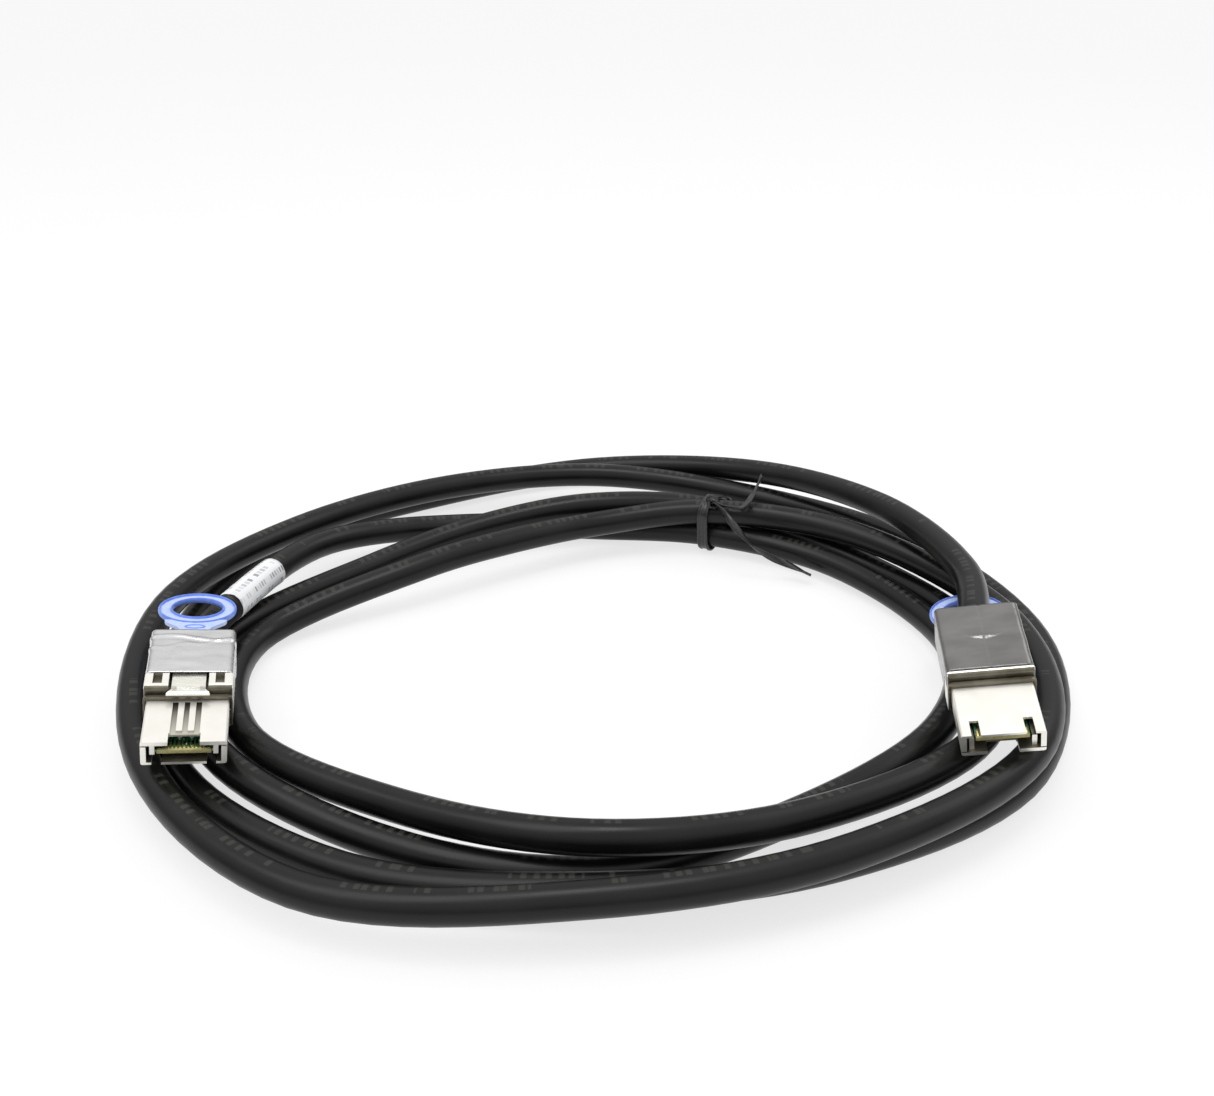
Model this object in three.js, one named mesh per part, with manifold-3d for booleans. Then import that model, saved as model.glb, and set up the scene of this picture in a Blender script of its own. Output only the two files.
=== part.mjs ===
// An external mini SAS cable: one round cable in a loose coil, a latching plug on each end, a twist tie.
// Millimetres, +Z up. The origin is on the table, under the middle of the coil.

import * as THREE from 'three';
import { mergeVertices } from 'three/addons/utils/BufferGeometryUtils.js';
import Module from 'manifold-3d';

const wasm = await Module();
wasm.setup();

// Shared clearances
const fitGap = 0.3;

// Cable
const cableDiameter = 7.2;
const cableSides = 10;
const stepsPerKnot = 4;
const coilCentre = { x: -2.1, y: -1.6 };
const knotAngle = 30;
const leadPoints = 2;

// The cable's lie, as [radius from the coil's centre, height of the middle of the cable].
// The first point of each turn is at the right, and the rest follow anticlockwise, 30 degrees apart.
const turns = [
  [[91.5, 24], [93, 19.5], [99.5, 12.5], [104.5, 5.5], [100.5, 4], [107.5, 4],
    [105.5, 4], [105.5, 4], [98, 4], [93.5, 6.5], [97, 5], [109.5, 4]],
  [[112.5, 4], [105.5, 4.5], [96, 5.5], [92.5, 8.5], [92.5, 10], [99, 11],
    [108, 13.5], [111.5, 9.5], [110, 8.5], [100.5, 11], [101.5, 11.5], [110, 12]],
  [[104.5, 10], [84.5, 12.5], [66, 12.6], [53.5, 10.5], [48, 11], [54.5, 10.5],
    [86, 4], [89.5, 7], [81, 8], [85.5, 12.5], [87, 9.5], [98, 9.5]],
  [[97.5, 5], [85.5, 4], [74, 9.5], [62.5, 12.4], [63.5, 9.5], [72, 6],
    [95, 4], [97.5, 7.5], [88, 4], [86, 4], [80.5, 4], [88.5, 8]],
  [[89.5, 4], [77.5, 5], [66.5, 5.2], [64, 4], [75.5, 4], [88, 9.5], [92, 13.5]],
];

// Plugs: where the nose meets the backshell, and how each plug lies on the coil, in degrees.
// A finger ring bends towards the cable by its own angle.
const plugA = { name: 'a', x: -89.1, y: -51, z: 17.4, yaw: 12.6, pitch: 3, roll: 8, latchUp: true, ringBend: 10 };
const plugB = { name: 'b', x: 83.4, y: -49.8, z: 20.9, yaw: -4.5, pitch: 10, roll: -10, latchUp: false, ringBend: -13 };

// Backshell: a die-cast box in two halves, split level with the middle of the cable
const shellWidth = 18.2;
const shellHeight = 11.2;
const shellLength = 22;
const shellWall = 1.2;
const shellRound = 1.1;
const shellBevel = 0.5;
const cableDrop = 0.6;
const cableHoleGap = 0.6;
const seamGap = 0.3;
const hatchWall = 1.3;

// Foil wrap round the backshell, in a shallow recess: shorter on the latch side, where the windows are
const foilLength = 17;
const foilUnderLength = 20.9;
const foilThickness = 0.15;
const foilRecess = 0.35;

// Nose: the thin-walled shroud that enters the cage
const noseHeight = 5.7;
const noseLength = 15.4;
const noseTopWall = 0.9;
const noseFloorWall = 0.6;
const noseSideWall = 1.1;
const noseSideSpace = 0.6;
const noseRound = 0.5;
const keyChannelWidth = 5.9;
const keyChannelDepth = 0.45;
const keyChannelStart = 1.9;
const keyRibWidth = 1.25;
const keyRibInset = 0.8;
const keyNotchWidth = 6.3;
const keyNotchLength = 3;
const tongueWidth = 8.9;
const floorSlotWidth = 1.9;
const floorSlotLength = 4.2;

// Collar of spring metal round the root of the nose
const collarLength = 1;
const collarSide = 0.4;
const collarHeight = 0.6;

// Latch arm, slide and pull tab, in the channel along the top of the backshell
const tabChannelWidth = 8.2;
const tabChannelDepth = 2.3;
const tabChannelRearDepth = 1.5;
const latchWidth = 7;
const latchThickness = 0.5;
const latchInset = 0.6;
const latchPivot = -9;
const latchReach = 0.5;
const lipWidth = 8.9;
const lipLength = 1.3;
const hookWidth = 1.2;
const hookRise = 0.7;
const slideThickness = 0.5;
const slideWidth = 5.6;
const slideLength = 8.5;
const slideTravel = 2.5;
const strapWidth = 6.6;
const strapThickness = 0.7;
const ringOuter = 17.8;
const ringInner = 11.2;
const ringThickness = 1.2;
const ringRim = 0.3;
const ringNeck = 4.2;
const windowWidth = 1.9;
const windowLength = 3.6;
const windowDepth = 1.2;
const windowOffset = 6.4;

// Paddle card with thirteen gold fingers on each face
const cardWidth = 10.9;
const cardThickness = 1;
const cardHeight = -0.5;
const cardFront = 14.2;
const cardRear = -7.5;
const fingerCount = 13;
const fingerPitch = 0.8;
const fingerWidth = 0.5;
const fingerLength = 2.6;
const fingerSetback = 0.4;
const fingerRise = 0.12;
const railWidth = 1;
const railDrop = 0.9;
const railSetback = 0.9;

// Cable entry: the jacket's end, a crimp ferrule on the core, a moulded grip and eight twin-wire pairs
const jacketInside = 1.6;
const ferruleBore = 2.65;
const ferruleWall = 0.35;
const ferruleLength = 3.4;
const coreRadius = 2.3;
const gripWidth = 13;
const gripHeight = 5.6;
const gripLength = 3.2;
const pairCount = 4;
const pairPitch = 2.6;
const pairWidth = 1.9;
const pairThickness = 1;
const pairSpread = 0.75;

// Rivets that hold the two halves of the backshell
const rivetRadius = 0.8;
const rivetHead = 1.35;
const rivetHeadHeight = 0.4;
const rivetInset = { x: 2.6, y: 3.4 };
const bossRadius = 1.9;

// Wrap label on the cable near plug A, between two running angles of the coil
const wrapThickness = 0.12;
const wrapFrom = 1605;
const wrapTo = 1620;

// Twist tie
const tieWidth = 3.4;
const tieThickness = 0.6;
const tieTurnAngle = 60;
const tieTailWidth = 2;
const tieKnotRadius = 1.7;
const tieKnot = { x: 31.4, y: 52.6, z: 17.4 };
const longTail = [
  [31.4, 52.6, 17.6], [33.2, 46, 18.2], [35.2, 41.2, 17], [38.2, 38.6, 14.2],
  [42.2, 38.6, 9.8], [47.7, 37.5, 6.8], [52.5, 37, 4.8], [58.2, 34.4, 3],
];
const shortTail = [
  [31.4, 52.6, 17.6], [35, 46, 18.6], [38.7, 45.8, 18.2], [41.4, 50.3, 18.5], [43.9, 56.6, 19], [46.6, 64.3, 20],
];

const black = material(0x2b2b2d, 0.55, 0);
const dieCast = material(0xd9d6cb, 0.35, 0.85);
const springSteel = material(0xcfcabb, 0.3, 0.9);
const tabBlue = material(0xa9b9ea, 0.45, 0);
const foil = material(0xc9c9c9, 0.35, 0.6);
const cardGreen = material(0x3f6f45, 0.5, 0);
const copper = material(0xb88a5a, 0.4, 0.8);
const pairGrey = material(0x8f969c, 0.5, 0);
const gripGrey = material(0x4a4a4c, 0.6, 0);
const labelWhite = material(0xf0f0ee, 0.6, 0);

function material(color, roughness, metalness) {
  return new THREE.MeshStandardMaterial({ color, roughness, metalness });
}

// Closed geometry to solid, and back
function solid(geometry) {
  const bare = geometry.clone();
  bare.deleteAttribute('normal');
  bare.deleteAttribute('uv');
  const merged = mergeVertices(bare, 1e-4);
  return new wasm.Manifold(new wasm.Mesh({
    numProp: 3,
    vertProperties: new Float32Array(merged.attributes.position.array),
    triVerts: new Uint32Array(merged.index.array),
  }));
}

function geometryOf(body) {
  const mesh = body.getMesh();
  const geometry = new THREE.BufferGeometry();
  geometry.setAttribute('position', new THREE.BufferAttribute(new Float32Array(mesh.vertProperties), 3));
  geometry.setIndex(new THREE.BufferAttribute(new Uint32Array(mesh.triVerts), 1));
  geometry.computeVertexNormals();
  return geometry;
}

function named(name, shape, surface) {
  const geometry = shape.isBufferGeometry ? shape : geometryOf(shape);
  const mesh = new THREE.Mesh(geometry, surface);
  mesh.name = name;
  return mesh;
}

// A box from its low and high corners
function box(x0, x1, y0, y1, z0, z1) {
  const geometry = new THREE.BoxGeometry(x1 - x0, y1 - y0, z1 - z0);
  geometry.translate((x0 + x1) / 2, (y0 + y1) / 2, (z0 + z1) / 2);
  return solid(geometry);
}

function join(...bodies) {
  return bodies.reduce((whole, body) => whole.add(body));
}

function cut(body, ...tools) {
  return tools.reduce((rest, tool) => rest.subtract(tool), body);
}

// A rectangle with round corners, centred
function roundRectangle(width, height, radius, path = new THREE.Shape()) {
  const x = width / 2;
  const y = height / 2;
  path.moveTo(-x + radius, -y);
  path.lineTo(x - radius, -y);
  path.absarc(x - radius, -y + radius, radius, -Math.PI / 2, 0);
  path.lineTo(x, y - radius);
  path.absarc(x - radius, y - radius, radius, 0, Math.PI / 2);
  path.lineTo(-x + radius, y);
  path.absarc(-x + radius, y - radius, radius, Math.PI / 2, Math.PI);
  path.lineTo(-x, -y + radius);
  path.absarc(-x + radius, -y + radius, radius, Math.PI, 1.5 * Math.PI);
  path.closePath();
  return path;
}

// A shape drawn in X and Z, pushed along Y from y0 to y1
function alongY(shape, y0, y1, curveSegments = 3) {
  const geometry = new THREE.ExtrudeGeometry(shape, { depth: y1 - y0, bevelEnabled: false, curveSegments });
  geometry.rotateX(Math.PI / 2);
  geometry.translate(0, y1, 0);
  return solid(geometry);
}

// A shape drawn in Y and Z, pushed along X, centred, with its outer edges rounded
function acrossX(shape, width, bevel = 0, curveSegments = 4) {
  const geometry = new THREE.ExtrudeGeometry(shape, {
    depth: width - 2 * bevel,
    bevelEnabled: bevel > 0,
    bevelThickness: bevel,
    bevelSize: bevel,
    bevelOffset: -bevel,
    bevelSegments: 2,
    curveSegments,
  });
  geometry.translate(0, 0, bevel - width / 2);
  const turn = new THREE.Matrix4().makeBasis(
    new THREE.Vector3(0, 1, 0),
    new THREE.Vector3(0, 0, 1),
    new THREE.Vector3(1, 0, 0),
  );
  geometry.applyMatrix4(turn);
  return solid(geometry);
}

function cylinderY(radius, y0, y1, z, segments = 24) {
  const geometry = new THREE.CylinderGeometry(radius, radius, y1 - y0, segments);
  geometry.translate(0, (y0 + y1) / 2, z);
  return solid(geometry);
}

function cylinderZ(radius, x, y, z0, z1, segments = 16) {
  const geometry = new THREE.CylinderGeometry(radius, radius, z1 - z0, segments);
  geometry.rotateX(Math.PI / 2);
  geometry.translate(x, y, (z0 + z1) / 2);
  return solid(geometry);
}

// A curve that is stepped evenly between its knots, so that turns side by side bend at the same places
class Route extends THREE.CatmullRomCurve3 {
  getUtoTmapping(u) {
    return u;
  }
}

function circleShape(radius, sides) {
  const points = [];
  for (let i = 0; i < sides; i += 1) {
    const angle = (i / sides) * 2 * Math.PI;
    points.push(new THREE.Vector2(radius * Math.cos(angle), radius * Math.sin(angle)));
  }
  return new THREE.Shape(points);
}

function tube(shape, path, steps) {
  return new THREE.ExtrudeGeometry(shape, { steps, extrudePath: path, bevelEnabled: false });
}

// Sizes that several plug pieces share, in the plug's own frame:
// X across, +Y towards the mating end, +Z towards the latch, the backshell's front face at Y = 0
const halfShell = shellWidth / 2;
const halfHeight = shellHeight / 2;
const halfNose = noseHeight / 2;
const noseWidth = cardWidth + 2 * (fitGap + railWidth + noseSideSpace + noseSideWall);
const tabChannelFloor = halfHeight - tabChannelDepth;
const tabChannelStep = halfHeight - tabChannelRearDepth;
const latchHeight = halfHeight - latchInset;
const rivetOffset = { x: halfShell - rivetInset.x, y: rivetInset.y - shellLength };
const seam = -cableDrop;
const plateUnder = halfNose - noseTopWall;
const cavityTop = tabChannelFloor - 0.6;
const cavityFloor = shellWall - halfHeight;
const cableHole = cableDiameter / 2 + cableHoleGap;
const jacketEnd = jacketInside - shellLength;
const gripRear = jacketEnd + fitGap + ferruleLength + fitGap;
const channelStepPlace = latchPivot - 1 - slideLength - slideTravel - fitGap;
const rivetSeat = halfHeight - foilRecess - rivetHeadHeight - fitGap;
const far = 40;

function backshellBlock() {
  const profile = roundRectangle(shellLength, shellHeight, shellRound);
  return acrossX(profile, shellWidth, shellBevel).translate([0, -shellLength / 2, 0]);
}

// What is taken from a half: the room inside, the cable's hole, the foil's recess and the rivet holes
function backshellRoom(recessLength) {
  const inside = box(
    shellWall - halfShell, halfShell - shellWall,
    hatchWall - shellLength, -shellWall,
    cavityFloor, cavityTop,
  );
  const mouth = box(
    noseSideWall - noseWidth / 2, noseWidth / 2 - noseSideWall,
    -far / 2, far,
    noseFloorWall - halfNose, plateUnder,
  ).intersect(box(-far, far, -shellWall - 1, far, -far, far));
  const hole = cylinderY(cableHole, -shellLength - 1, -shellLength + hatchWall + 1, seam);
  const recessOuter = box(-far, far, -shellLength - 1, recessLength - shellLength, -far, far);
  const recessInner = alongY(
    roundRectangle(shellWidth - 2 * foilRecess, shellHeight - 2 * foilRecess, shellRound),
    -shellLength - 2, 0,
  );
  return join(inside, mouth, hole, recessOuter.subtract(recessInner), ...rivetColumns(rivetRadius + fitGap));
}

function rivetColumns(radius) {
  return [-1, 1].map((side) => (
    cylinderZ(radius, side * rivetOffset.x, rivetOffset.y, -halfHeight - 1, halfHeight + 1, 24)
  ));
}

function rivetBosses(z0, z1) {
  return join(...[-1, 1].map((side) => (
    cylinderZ(bossRadius, side * rivetOffset.x, rivetOffset.y, z0, z1)
      .subtract(cylinderZ(rivetRadius + fitGap, side * rivetOffset.x, rivetOffset.y, z0 - 1, z1 + 1))
  )));
}

function upperShell() {
  const half = box(-far, far, -far, far, seam + seamGap / 2, far);
  const channel = join(
    box(-tabChannelWidth / 2, tabChannelWidth / 2, channelStepPlace, far, tabChannelFloor, far),
    box(-tabChannelWidth / 2, tabChannelWidth / 2, -far, far, tabChannelStep, far),
  );
  const windows = [-1, 1].map((side) => box(
    side * windowOffset - windowWidth / 2, side * windowOffset + windowWidth / 2,
    foilLength - shellLength - 1, foilLength - shellLength + windowLength,
    halfHeight - windowDepth, far,
  ));
  const counterbores = [-1, 1].map((side) => cylinderZ(
    rivetHead + fitGap, side * rivetOffset.x, rivetOffset.y, rivetSeat, far,
  ));
  const back = cut(backshellBlock().intersect(half), backshellRoom(foilLength), channel, ...windows, ...counterbores);
  const bosses = cut(
    rivetBosses(seam + seamGap / 2, cavityTop + 0.2),
    cylinderY(cableHole, -shellLength, 0, seam),
  );

  // Nose roof, with the key channel, its two ribs and the notch over the card's front edge
  const roof = alongY(roundRectangle(noseWidth, noseHeight, noseRound), -shellWall, noseLength)
    .intersect(box(-far, far, -far, far, plateUnder, far));
  const channelEnd = noseLength - keyNotchLength;
  const keyChannel = box(
    -keyChannelWidth / 2, keyChannelWidth / 2, keyChannelStart, channelEnd, halfNose - keyChannelDepth, far,
  );
  const ribs = [-1, 1].map((side) => box(
    side * keyChannelWidth / 5 - keyRibWidth / 2, side * keyChannelWidth / 5 + keyRibWidth / 2,
    keyChannelStart - 0.2, channelEnd - keyRibInset, halfNose - keyChannelDepth - 0.2, halfNose,
  ));
  const notch = box(-keyNotchWidth / 2, keyNotchWidth / 2, channelEnd, far, plateUnder - 1, far);
  const railOuter = cardWidth / 2 + fitGap + railWidth;
  const rails = [-1, 1].map((side) => box(
    Math.min(side * (railOuter - railWidth), side * railOuter),
    Math.max(side * (railOuter - railWidth), side * railOuter),
    -shellWall, noseLength - railSetback,
    cardHeight - railDrop / 2, plateUnder + 0.2,
  ));
  return join(back, bosses, join(cut(roof, keyChannel), ...ribs).subtract(notch), ...rails);
}

function lowerShell() {
  const half = box(-far, far, -far, far, -far, seam - seamGap / 2);
  const counterbores = [-1, 1].map((side) => cylinderZ(
    rivetHead + fitGap, side * rivetOffset.x, rivetOffset.y, -far, -rivetSeat,
  ));
  const back = cut(backshellBlock().intersect(half), backshellRoom(foilUnderLength), ...counterbores);
  const bosses = cut(
    rivetBosses(cavityFloor - 0.2, seam - seamGap / 2),
    cylinderY(cableHole, -shellLength, 0, seam),
  );

  // Nose floor and walls, open to the roof by a gap
  const trough = alongY(roundRectangle(noseWidth, noseHeight, noseRound), fitGap, noseLength)
    .intersect(box(-far, far, -far, far, -far, plateUnder - fitGap));
  const root = alongY(roundRectangle(noseWidth, noseHeight, noseRound), -shellWall, fitGap + 0.1)
    .intersect(half);
  const inner = box(
    noseSideWall - noseWidth / 2, noseWidth / 2 - noseSideWall,
    -far, far, noseFloorWall - halfNose, far,
  );
  const slots = [-1, 1].map((side) => {
    const middle = side * (tongueWidth + floorSlotWidth) / 2;
    return box(
      middle - floorSlotWidth / 2, middle + floorSlotWidth / 2,
      noseLength - floorSlotLength, far, -far, noseFloorWall - halfNose + 0.1,
    );
  });
  return join(back, bosses, cut(join(trough, root), inner, ...slots));
}

function collar() {
  const inner = { width: noseWidth + 2 * fitGap, height: noseHeight + 2 * fitGap };
  const outline = roundRectangle(inner.width + 2 * collarSide, inner.height + 2 * collarHeight, 1);
  outline.holes.push(roundRectangle(inner.width, inner.height, noseRound + fitGap, new THREE.Path()));
  return alongY(outline, fitGap, fitGap + collarLength);
}

// Latch arm: a plate that turns about its rear edge, with a T-shaped lip and two hooks
function latchArm() {
  const top = latchHeight;
  const bottom = latchHeight - latchThickness;
  const plate = box(-latchWidth / 2, latchWidth / 2, latchPivot, latchReach, bottom, top);
  const knuckle = new THREE.CylinderGeometry(latchThickness, latchThickness, latchWidth, 16);
  knuckle.rotateZ(Math.PI / 2);
  knuckle.translate(0, latchPivot, latchHeight - latchThickness);
  const lip = box(-lipWidth / 2, lipWidth / 2, latchReach - 0.1, latchReach + lipLength, bottom - 0.1, top - 0.1);
  const hookPlace = latchWidth / 2 - hookWidth / 2;
  const hooks = [-1, 1].map((side) => box(
    side * hookPlace - hookWidth / 2, side * hookPlace + hookWidth / 2,
    latchReach - 1.4, latchReach - 0.1, bottom, top + hookRise,
  ));
  return join(plate, solid(knuckle), lip, ...hooks);
}

// Slide: a stamped plate on the channel's floor whose nose bears on the latch arm
function slide() {
  const z0 = tabChannelFloor + fitGap;
  const front = latchPivot - 1;
  const plate = box(-slideWidth / 2, slideWidth / 2, front - slideLength, front, z0, z0 + slideThickness);
  const peg = cylinderZ(0.9, 0, front - slideLength / 2, z0, z0 + slideThickness);
  return plate.subtract(peg);
}

// Pull tab: a strap in the channel, a flared neck and a finger ring with raised rims
function pullTab(ringBend) {
  const pegPlace = latchPivot - 1 - slideLength / 2;
  const z0 = tabChannelFloor + fitGap + slideThickness + fitGap;
  const strap = box(-strapWidth / 2, strapWidth / 2, -shellLength - 0.6, pegPlace + 1.8, z0, z0 + strapThickness);
  const peg = cylinderZ(0.6, 0, pegPlace, z0 - slideThickness - 0.1, z0 + 0.1);

  const neckEnd = -ringNeck - 2;
  const neckWide = ringOuter / 2 - 2;
  const neck = new THREE.Shape();
  neck.moveTo(-strapWidth / 2, 0);
  neck.lineTo(strapWidth / 2, 0);
  neck.quadraticCurveTo(strapWidth / 2 + 0.2, -2, neckWide, neckEnd);
  neck.lineTo(-neckWide, neckEnd);
  neck.quadraticCurveTo(-strapWidth / 2 - 0.2, -2, -strapWidth / 2, 0);
  const neckSolid = solid(new THREE.ExtrudeGeometry(neck, {
    depth: strapThickness + 0.2, bevelEnabled: false, curveSegments: 5,
  }));

  const half = ringThickness / 2;
  const profile = [
    new THREE.Vector2(ringInner / 2, -half),
    new THREE.Vector2(ringOuter / 2 - 0.3, -half),
    new THREE.Vector2(ringOuter / 2, -half + 0.3),
    new THREE.Vector2(ringOuter / 2, half + ringRim - 0.2),
    new THREE.Vector2(ringOuter / 2 - 0.3, half + ringRim),
    new THREE.Vector2(ringOuter / 2 - 1, half + ringRim),
    new THREE.Vector2(ringOuter / 2 - 1.2, half),
    new THREE.Vector2(ringInner / 2 + 1.2, half),
    new THREE.Vector2(ringInner / 2 + 1, half + ringRim),
    new THREE.Vector2(ringInner / 2 + 0.2, half + ringRim),
    new THREE.Vector2(ringInner / 2, half + ringRim - 0.2),
    new THREE.Vector2(ringInner / 2, -half),
  ];
  const middle = -ringNeck - ringOuter / 2;
  const lathe = new THREE.LatheGeometry(profile, 36);
  lathe.rotateX(Math.PI / 2);
  const ring = solid(lathe).translate([0, middle, strapThickness / 2]);
  const opening = cylinderZ(ringInner / 2 + 0.3, 0, middle, -far, far, 36);
  const handle = join(neckSolid.subtract(opening), ring)
    .rotate([ringBend, 0, 0])
    .translate([0, -shellLength - 0.2, z0]);
  return join(strap, peg, handle);
}

function paddleCard() {
  const top = cardHeight + cardThickness / 2;
  const bottom = cardHeight - cardThickness / 2;
  const board = box(-cardWidth / 2, cardWidth / 2, cardRear, cardFront, bottom, top);
  const fingers = [];
  for (let i = 0; i < fingerCount; i += 1) {
    const x = (i - (fingerCount - 1) / 2) * fingerPitch;
    fingers.push(box(
      x - fingerWidth / 2, x + fingerWidth / 2,
      cardFront - fingerSetback - fingerLength, cardFront - fingerSetback,
      bottom - fingerRise, top + fingerRise,
    ));
  }
  const nose = new THREE.Shape([
    new THREE.Vector2(cardFront - 0.35, -far),
    new THREE.Vector2(cardFront - 0.35, bottom),
    new THREE.Vector2(cardFront, bottom + 0.3),
    new THREE.Vector2(cardFront, top - 0.3),
    new THREE.Vector2(cardFront - 0.35, top),
    new THREE.Vector2(cardFront - 0.35, far),
    new THREE.Vector2(far, far),
    new THREE.Vector2(far, -far),
  ]);
  return cut(join(board, ...fingers), acrossX(nose, cardWidth + 2));
}

// Crimp ferrule round the core of the cable, inside the backshell
function ferrule() {
  const y0 = jacketEnd + fitGap;
  const bore = cylinderY(ferruleBore, y0 - 1, y0 + ferruleLength + 1, 0);
  return cylinderY(ferruleBore + ferruleWall, y0, y0 + ferruleLength, 0).subtract(bore);
}

// Moulded grip: a stub that fills the ferrule, and a block that the wires leave
function grip() {
  const block = alongY(roundRectangle(gripWidth, gripHeight, 1), gripRear, gripRear + gripLength);
  return join(block, cylinderY(coreRadius, jacketEnd + fitGap, gripRear + 0.1, 0));
}

// One twin-wire pair, from the grip to the card's upper or lower face
function pair(index, side) {
  const x = (index - (pairCount - 1) / 2) * pairPitch;
  const start = gripRear + gripLength + fitGap;
  const rise = cardHeight + side * (cardThickness / 2 + fitGap + pairThickness / 2);
  const from = seam + side * pairSpread;
  const path = new THREE.CatmullRomCurve3([
    new THREE.Vector3(x, start, from + side * 0.1),
    new THREE.Vector3(x, start + 0.8, from + side * 0.1),
    new THREE.Vector3(x, cardRear - 1.2, rise),
    new THREE.Vector3(x, cardRear + 1.6, rise),
  ]);
  const section = [];
  for (let i = 0; i < 8; i += 1) {
    const angle = ((i + 0.5) / 8) * 2 * Math.PI;
    section.push(new THREE.Vector2(
      (pairWidth / 2) * Math.cos(angle),
      (pairThickness / 2) * Math.sin(angle),
    ));
  }
  return tube(new THREE.Shape(section), path, 6);
}

function rivet() {
  const under = rivetSeat + fitGap;
  const top = under + rivetHeadHeight;
  const profile = [
    new THREE.Vector2(0, -top),
    new THREE.Vector2(rivetHead, -top),
    new THREE.Vector2(rivetHead, -under),
    new THREE.Vector2(rivetRadius, -under),
    new THREE.Vector2(rivetRadius, under),
    new THREE.Vector2(rivetHead, under),
    new THREE.Vector2(rivetHead, top),
    new THREE.Vector2(0, top),
  ];
  const geometry = new THREE.LatheGeometry(profile, 16);
  geometry.rotateX(Math.PI / 2);
  return solid(geometry);
}

function foilWrap() {
  const gap = foilRecess - fitGap;
  const inner = { width: shellWidth - 2 * gap, height: shellHeight - 2 * gap };
  const outline = roundRectangle(
    inner.width + 2 * foilThickness, inner.height + 2 * foilThickness, shellRound + fitGap + foilThickness,
  );
  outline.holes.push(roundRectangle(inner.width, inner.height, shellRound + fitGap, new THREE.Path()));
  const under = box(-far, far, -far, far, -far, seam + seamGap / 2 - fitGap);
  return join(
    alongY(outline, -shellLength, foilLength - shellLength - fitGap, 4),
    alongY(outline, -shellLength, foilUnderLength - shellLength - fitGap, 4).intersect(under),
  );
}

function buildPlug(place) {
  const tag = place.name;
  const plug = new THREE.Group();
  plug.position.set(place.x, place.y, place.z);
  plug.rotation.set(
    THREE.MathUtils.degToRad(place.pitch),
    THREE.MathUtils.degToRad(place.roll),
    THREE.MathUtils.degToRad(place.yaw),
    'ZXY',
  );
  const pieces = new THREE.Group();
  if (place.latchUp) {
    pieces.rotation.z = Math.PI;
  } else {
    pieces.rotation.x = Math.PI;
  }
  plug.add(pieces);

  pieces.add(named(`${tag}_upper_shell`, upperShell(), dieCast));
  pieces.add(named(`${tag}_lower_shell`, lowerShell(), dieCast));
  pieces.add(named(`${tag}_collar`, collar(), springSteel));
  pieces.add(named(`${tag}_latch_arm`, latchArm(), springSteel));
  pieces.add(named(`${tag}_latch_slide`, slide(), springSteel));
  pieces.add(named(`${tag}_pull_tab`, pullTab(place.ringBend), tabBlue));
  pieces.add(named(`${tag}_paddle_card`, paddleCard(), cardGreen));
  pieces.add(named(`${tag}_foil_wrap`, foilWrap(), foil));

  const entry = new THREE.Group();
  entry.position.z = seam;
  entry.add(named(`${tag}_ferrule`, ferrule(), copper));
  entry.add(named(`${tag}_cable_grip`, grip(), gripGrey));
  pieces.add(entry);

  for (let i = 0; i < pairCount; i += 1) {
    pieces.add(named(`${tag}_pair_upper_${i + 1}`, pair(i, 1), pairGrey));
    pieces.add(named(`${tag}_pair_lower_${i + 1}`, pair(i, -1), pairGrey));
  }
  for (const [side, word] of [[-1, 'left'], [1, 'right']]) {
    const pin = named(`${tag}_rivet_${word}`, rivet(), springSteel);
    pin.position.set(side * rivetOffset.x, rivetOffset.y, 0);
    pieces.add(pin);
  }
  plug.updateMatrixWorld(true);
  plug.userData.cableEnd = (y) => pieces.localToWorld(new THREE.Vector3(0, y, seam));
  return plug;
}

// The knot points of the coil, in the object's frame
function coilPoints() {
  return turns.flat().map(([radius, height], i) => {
    const angle = THREE.MathUtils.degToRad(i * knotAngle);
    return new THREE.Vector3(
      coilCentre.x + radius * Math.cos(angle),
      coilCentre.y + radius * Math.sin(angle),
      height,
    );
  });
}

function cableRoute(first, last) {
  return new Route([
    first.userData.cableEnd(jacketEnd),
    first.userData.cableEnd(-shellLength - 1),
    ...coilPoints(),
    last.userData.cableEnd(-shellLength - 1),
    last.userData.cableEnd(jacketEnd),
  ], false, 'centripetal');
}

// Part of a route, stepped as the whole route is
class Stretch extends THREE.Curve {
  constructor(route, from, to) {
    super();
    this.route = route;
    this.from = from;
    this.to = to;
  }

  getPoint(t, target) {
    return this.route.getPoint(this.from + (this.to - this.from) * t, target);
  }

  getUtoTmapping(u) {
    return u;
  }
}

// A sleeve of paper round the cable, near the last plug
function cableWrap(route) {
  const last = route.points.length - 1;
  const inner = cableDiameter / 2 + fitGap;
  const section = circleShape(inner + wrapThickness, 20);
  section.holes.push(new THREE.Path(circleShape(inner, 20).getPoints()));
  const place = (angle) => (leadPoints + angle / knotAngle) / last;
  const stretch = new Stretch(route, place(wrapFrom), place(wrapTo));
  return tube(section, stretch, ((wrapTo - wrapFrom) / knotAngle) * stepsPerKnot);
}

// The outline that a band takes round some discs
function bandOutline(centres, radius) {
  const cloud = centres.flatMap(([x, y]) => (
    Array.from({ length: 24 }, (_, i) => {
      const angle = (i / 24) * 2 * Math.PI;
      return new THREE.Vector2(x + radius * Math.cos(angle), y + radius * Math.sin(angle));
    })
  )).sort((p, q) => p.x - q.x || p.y - q.y);
  const half = (points) => {
    const chain = [];
    for (const point of points) {
      while (chain.length > 1) {
        const [a, b] = chain.slice(-2);
        if ((b.x - a.x) * (point.y - a.y) - (b.y - a.y) * (point.x - a.x) > 1e-6) break;
        chain.pop();
      }
      chain.push(point);
    }
    return chain.slice(0, -1);
  };
  return [...half(cloud), ...half([...cloud].reverse())];
}

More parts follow.
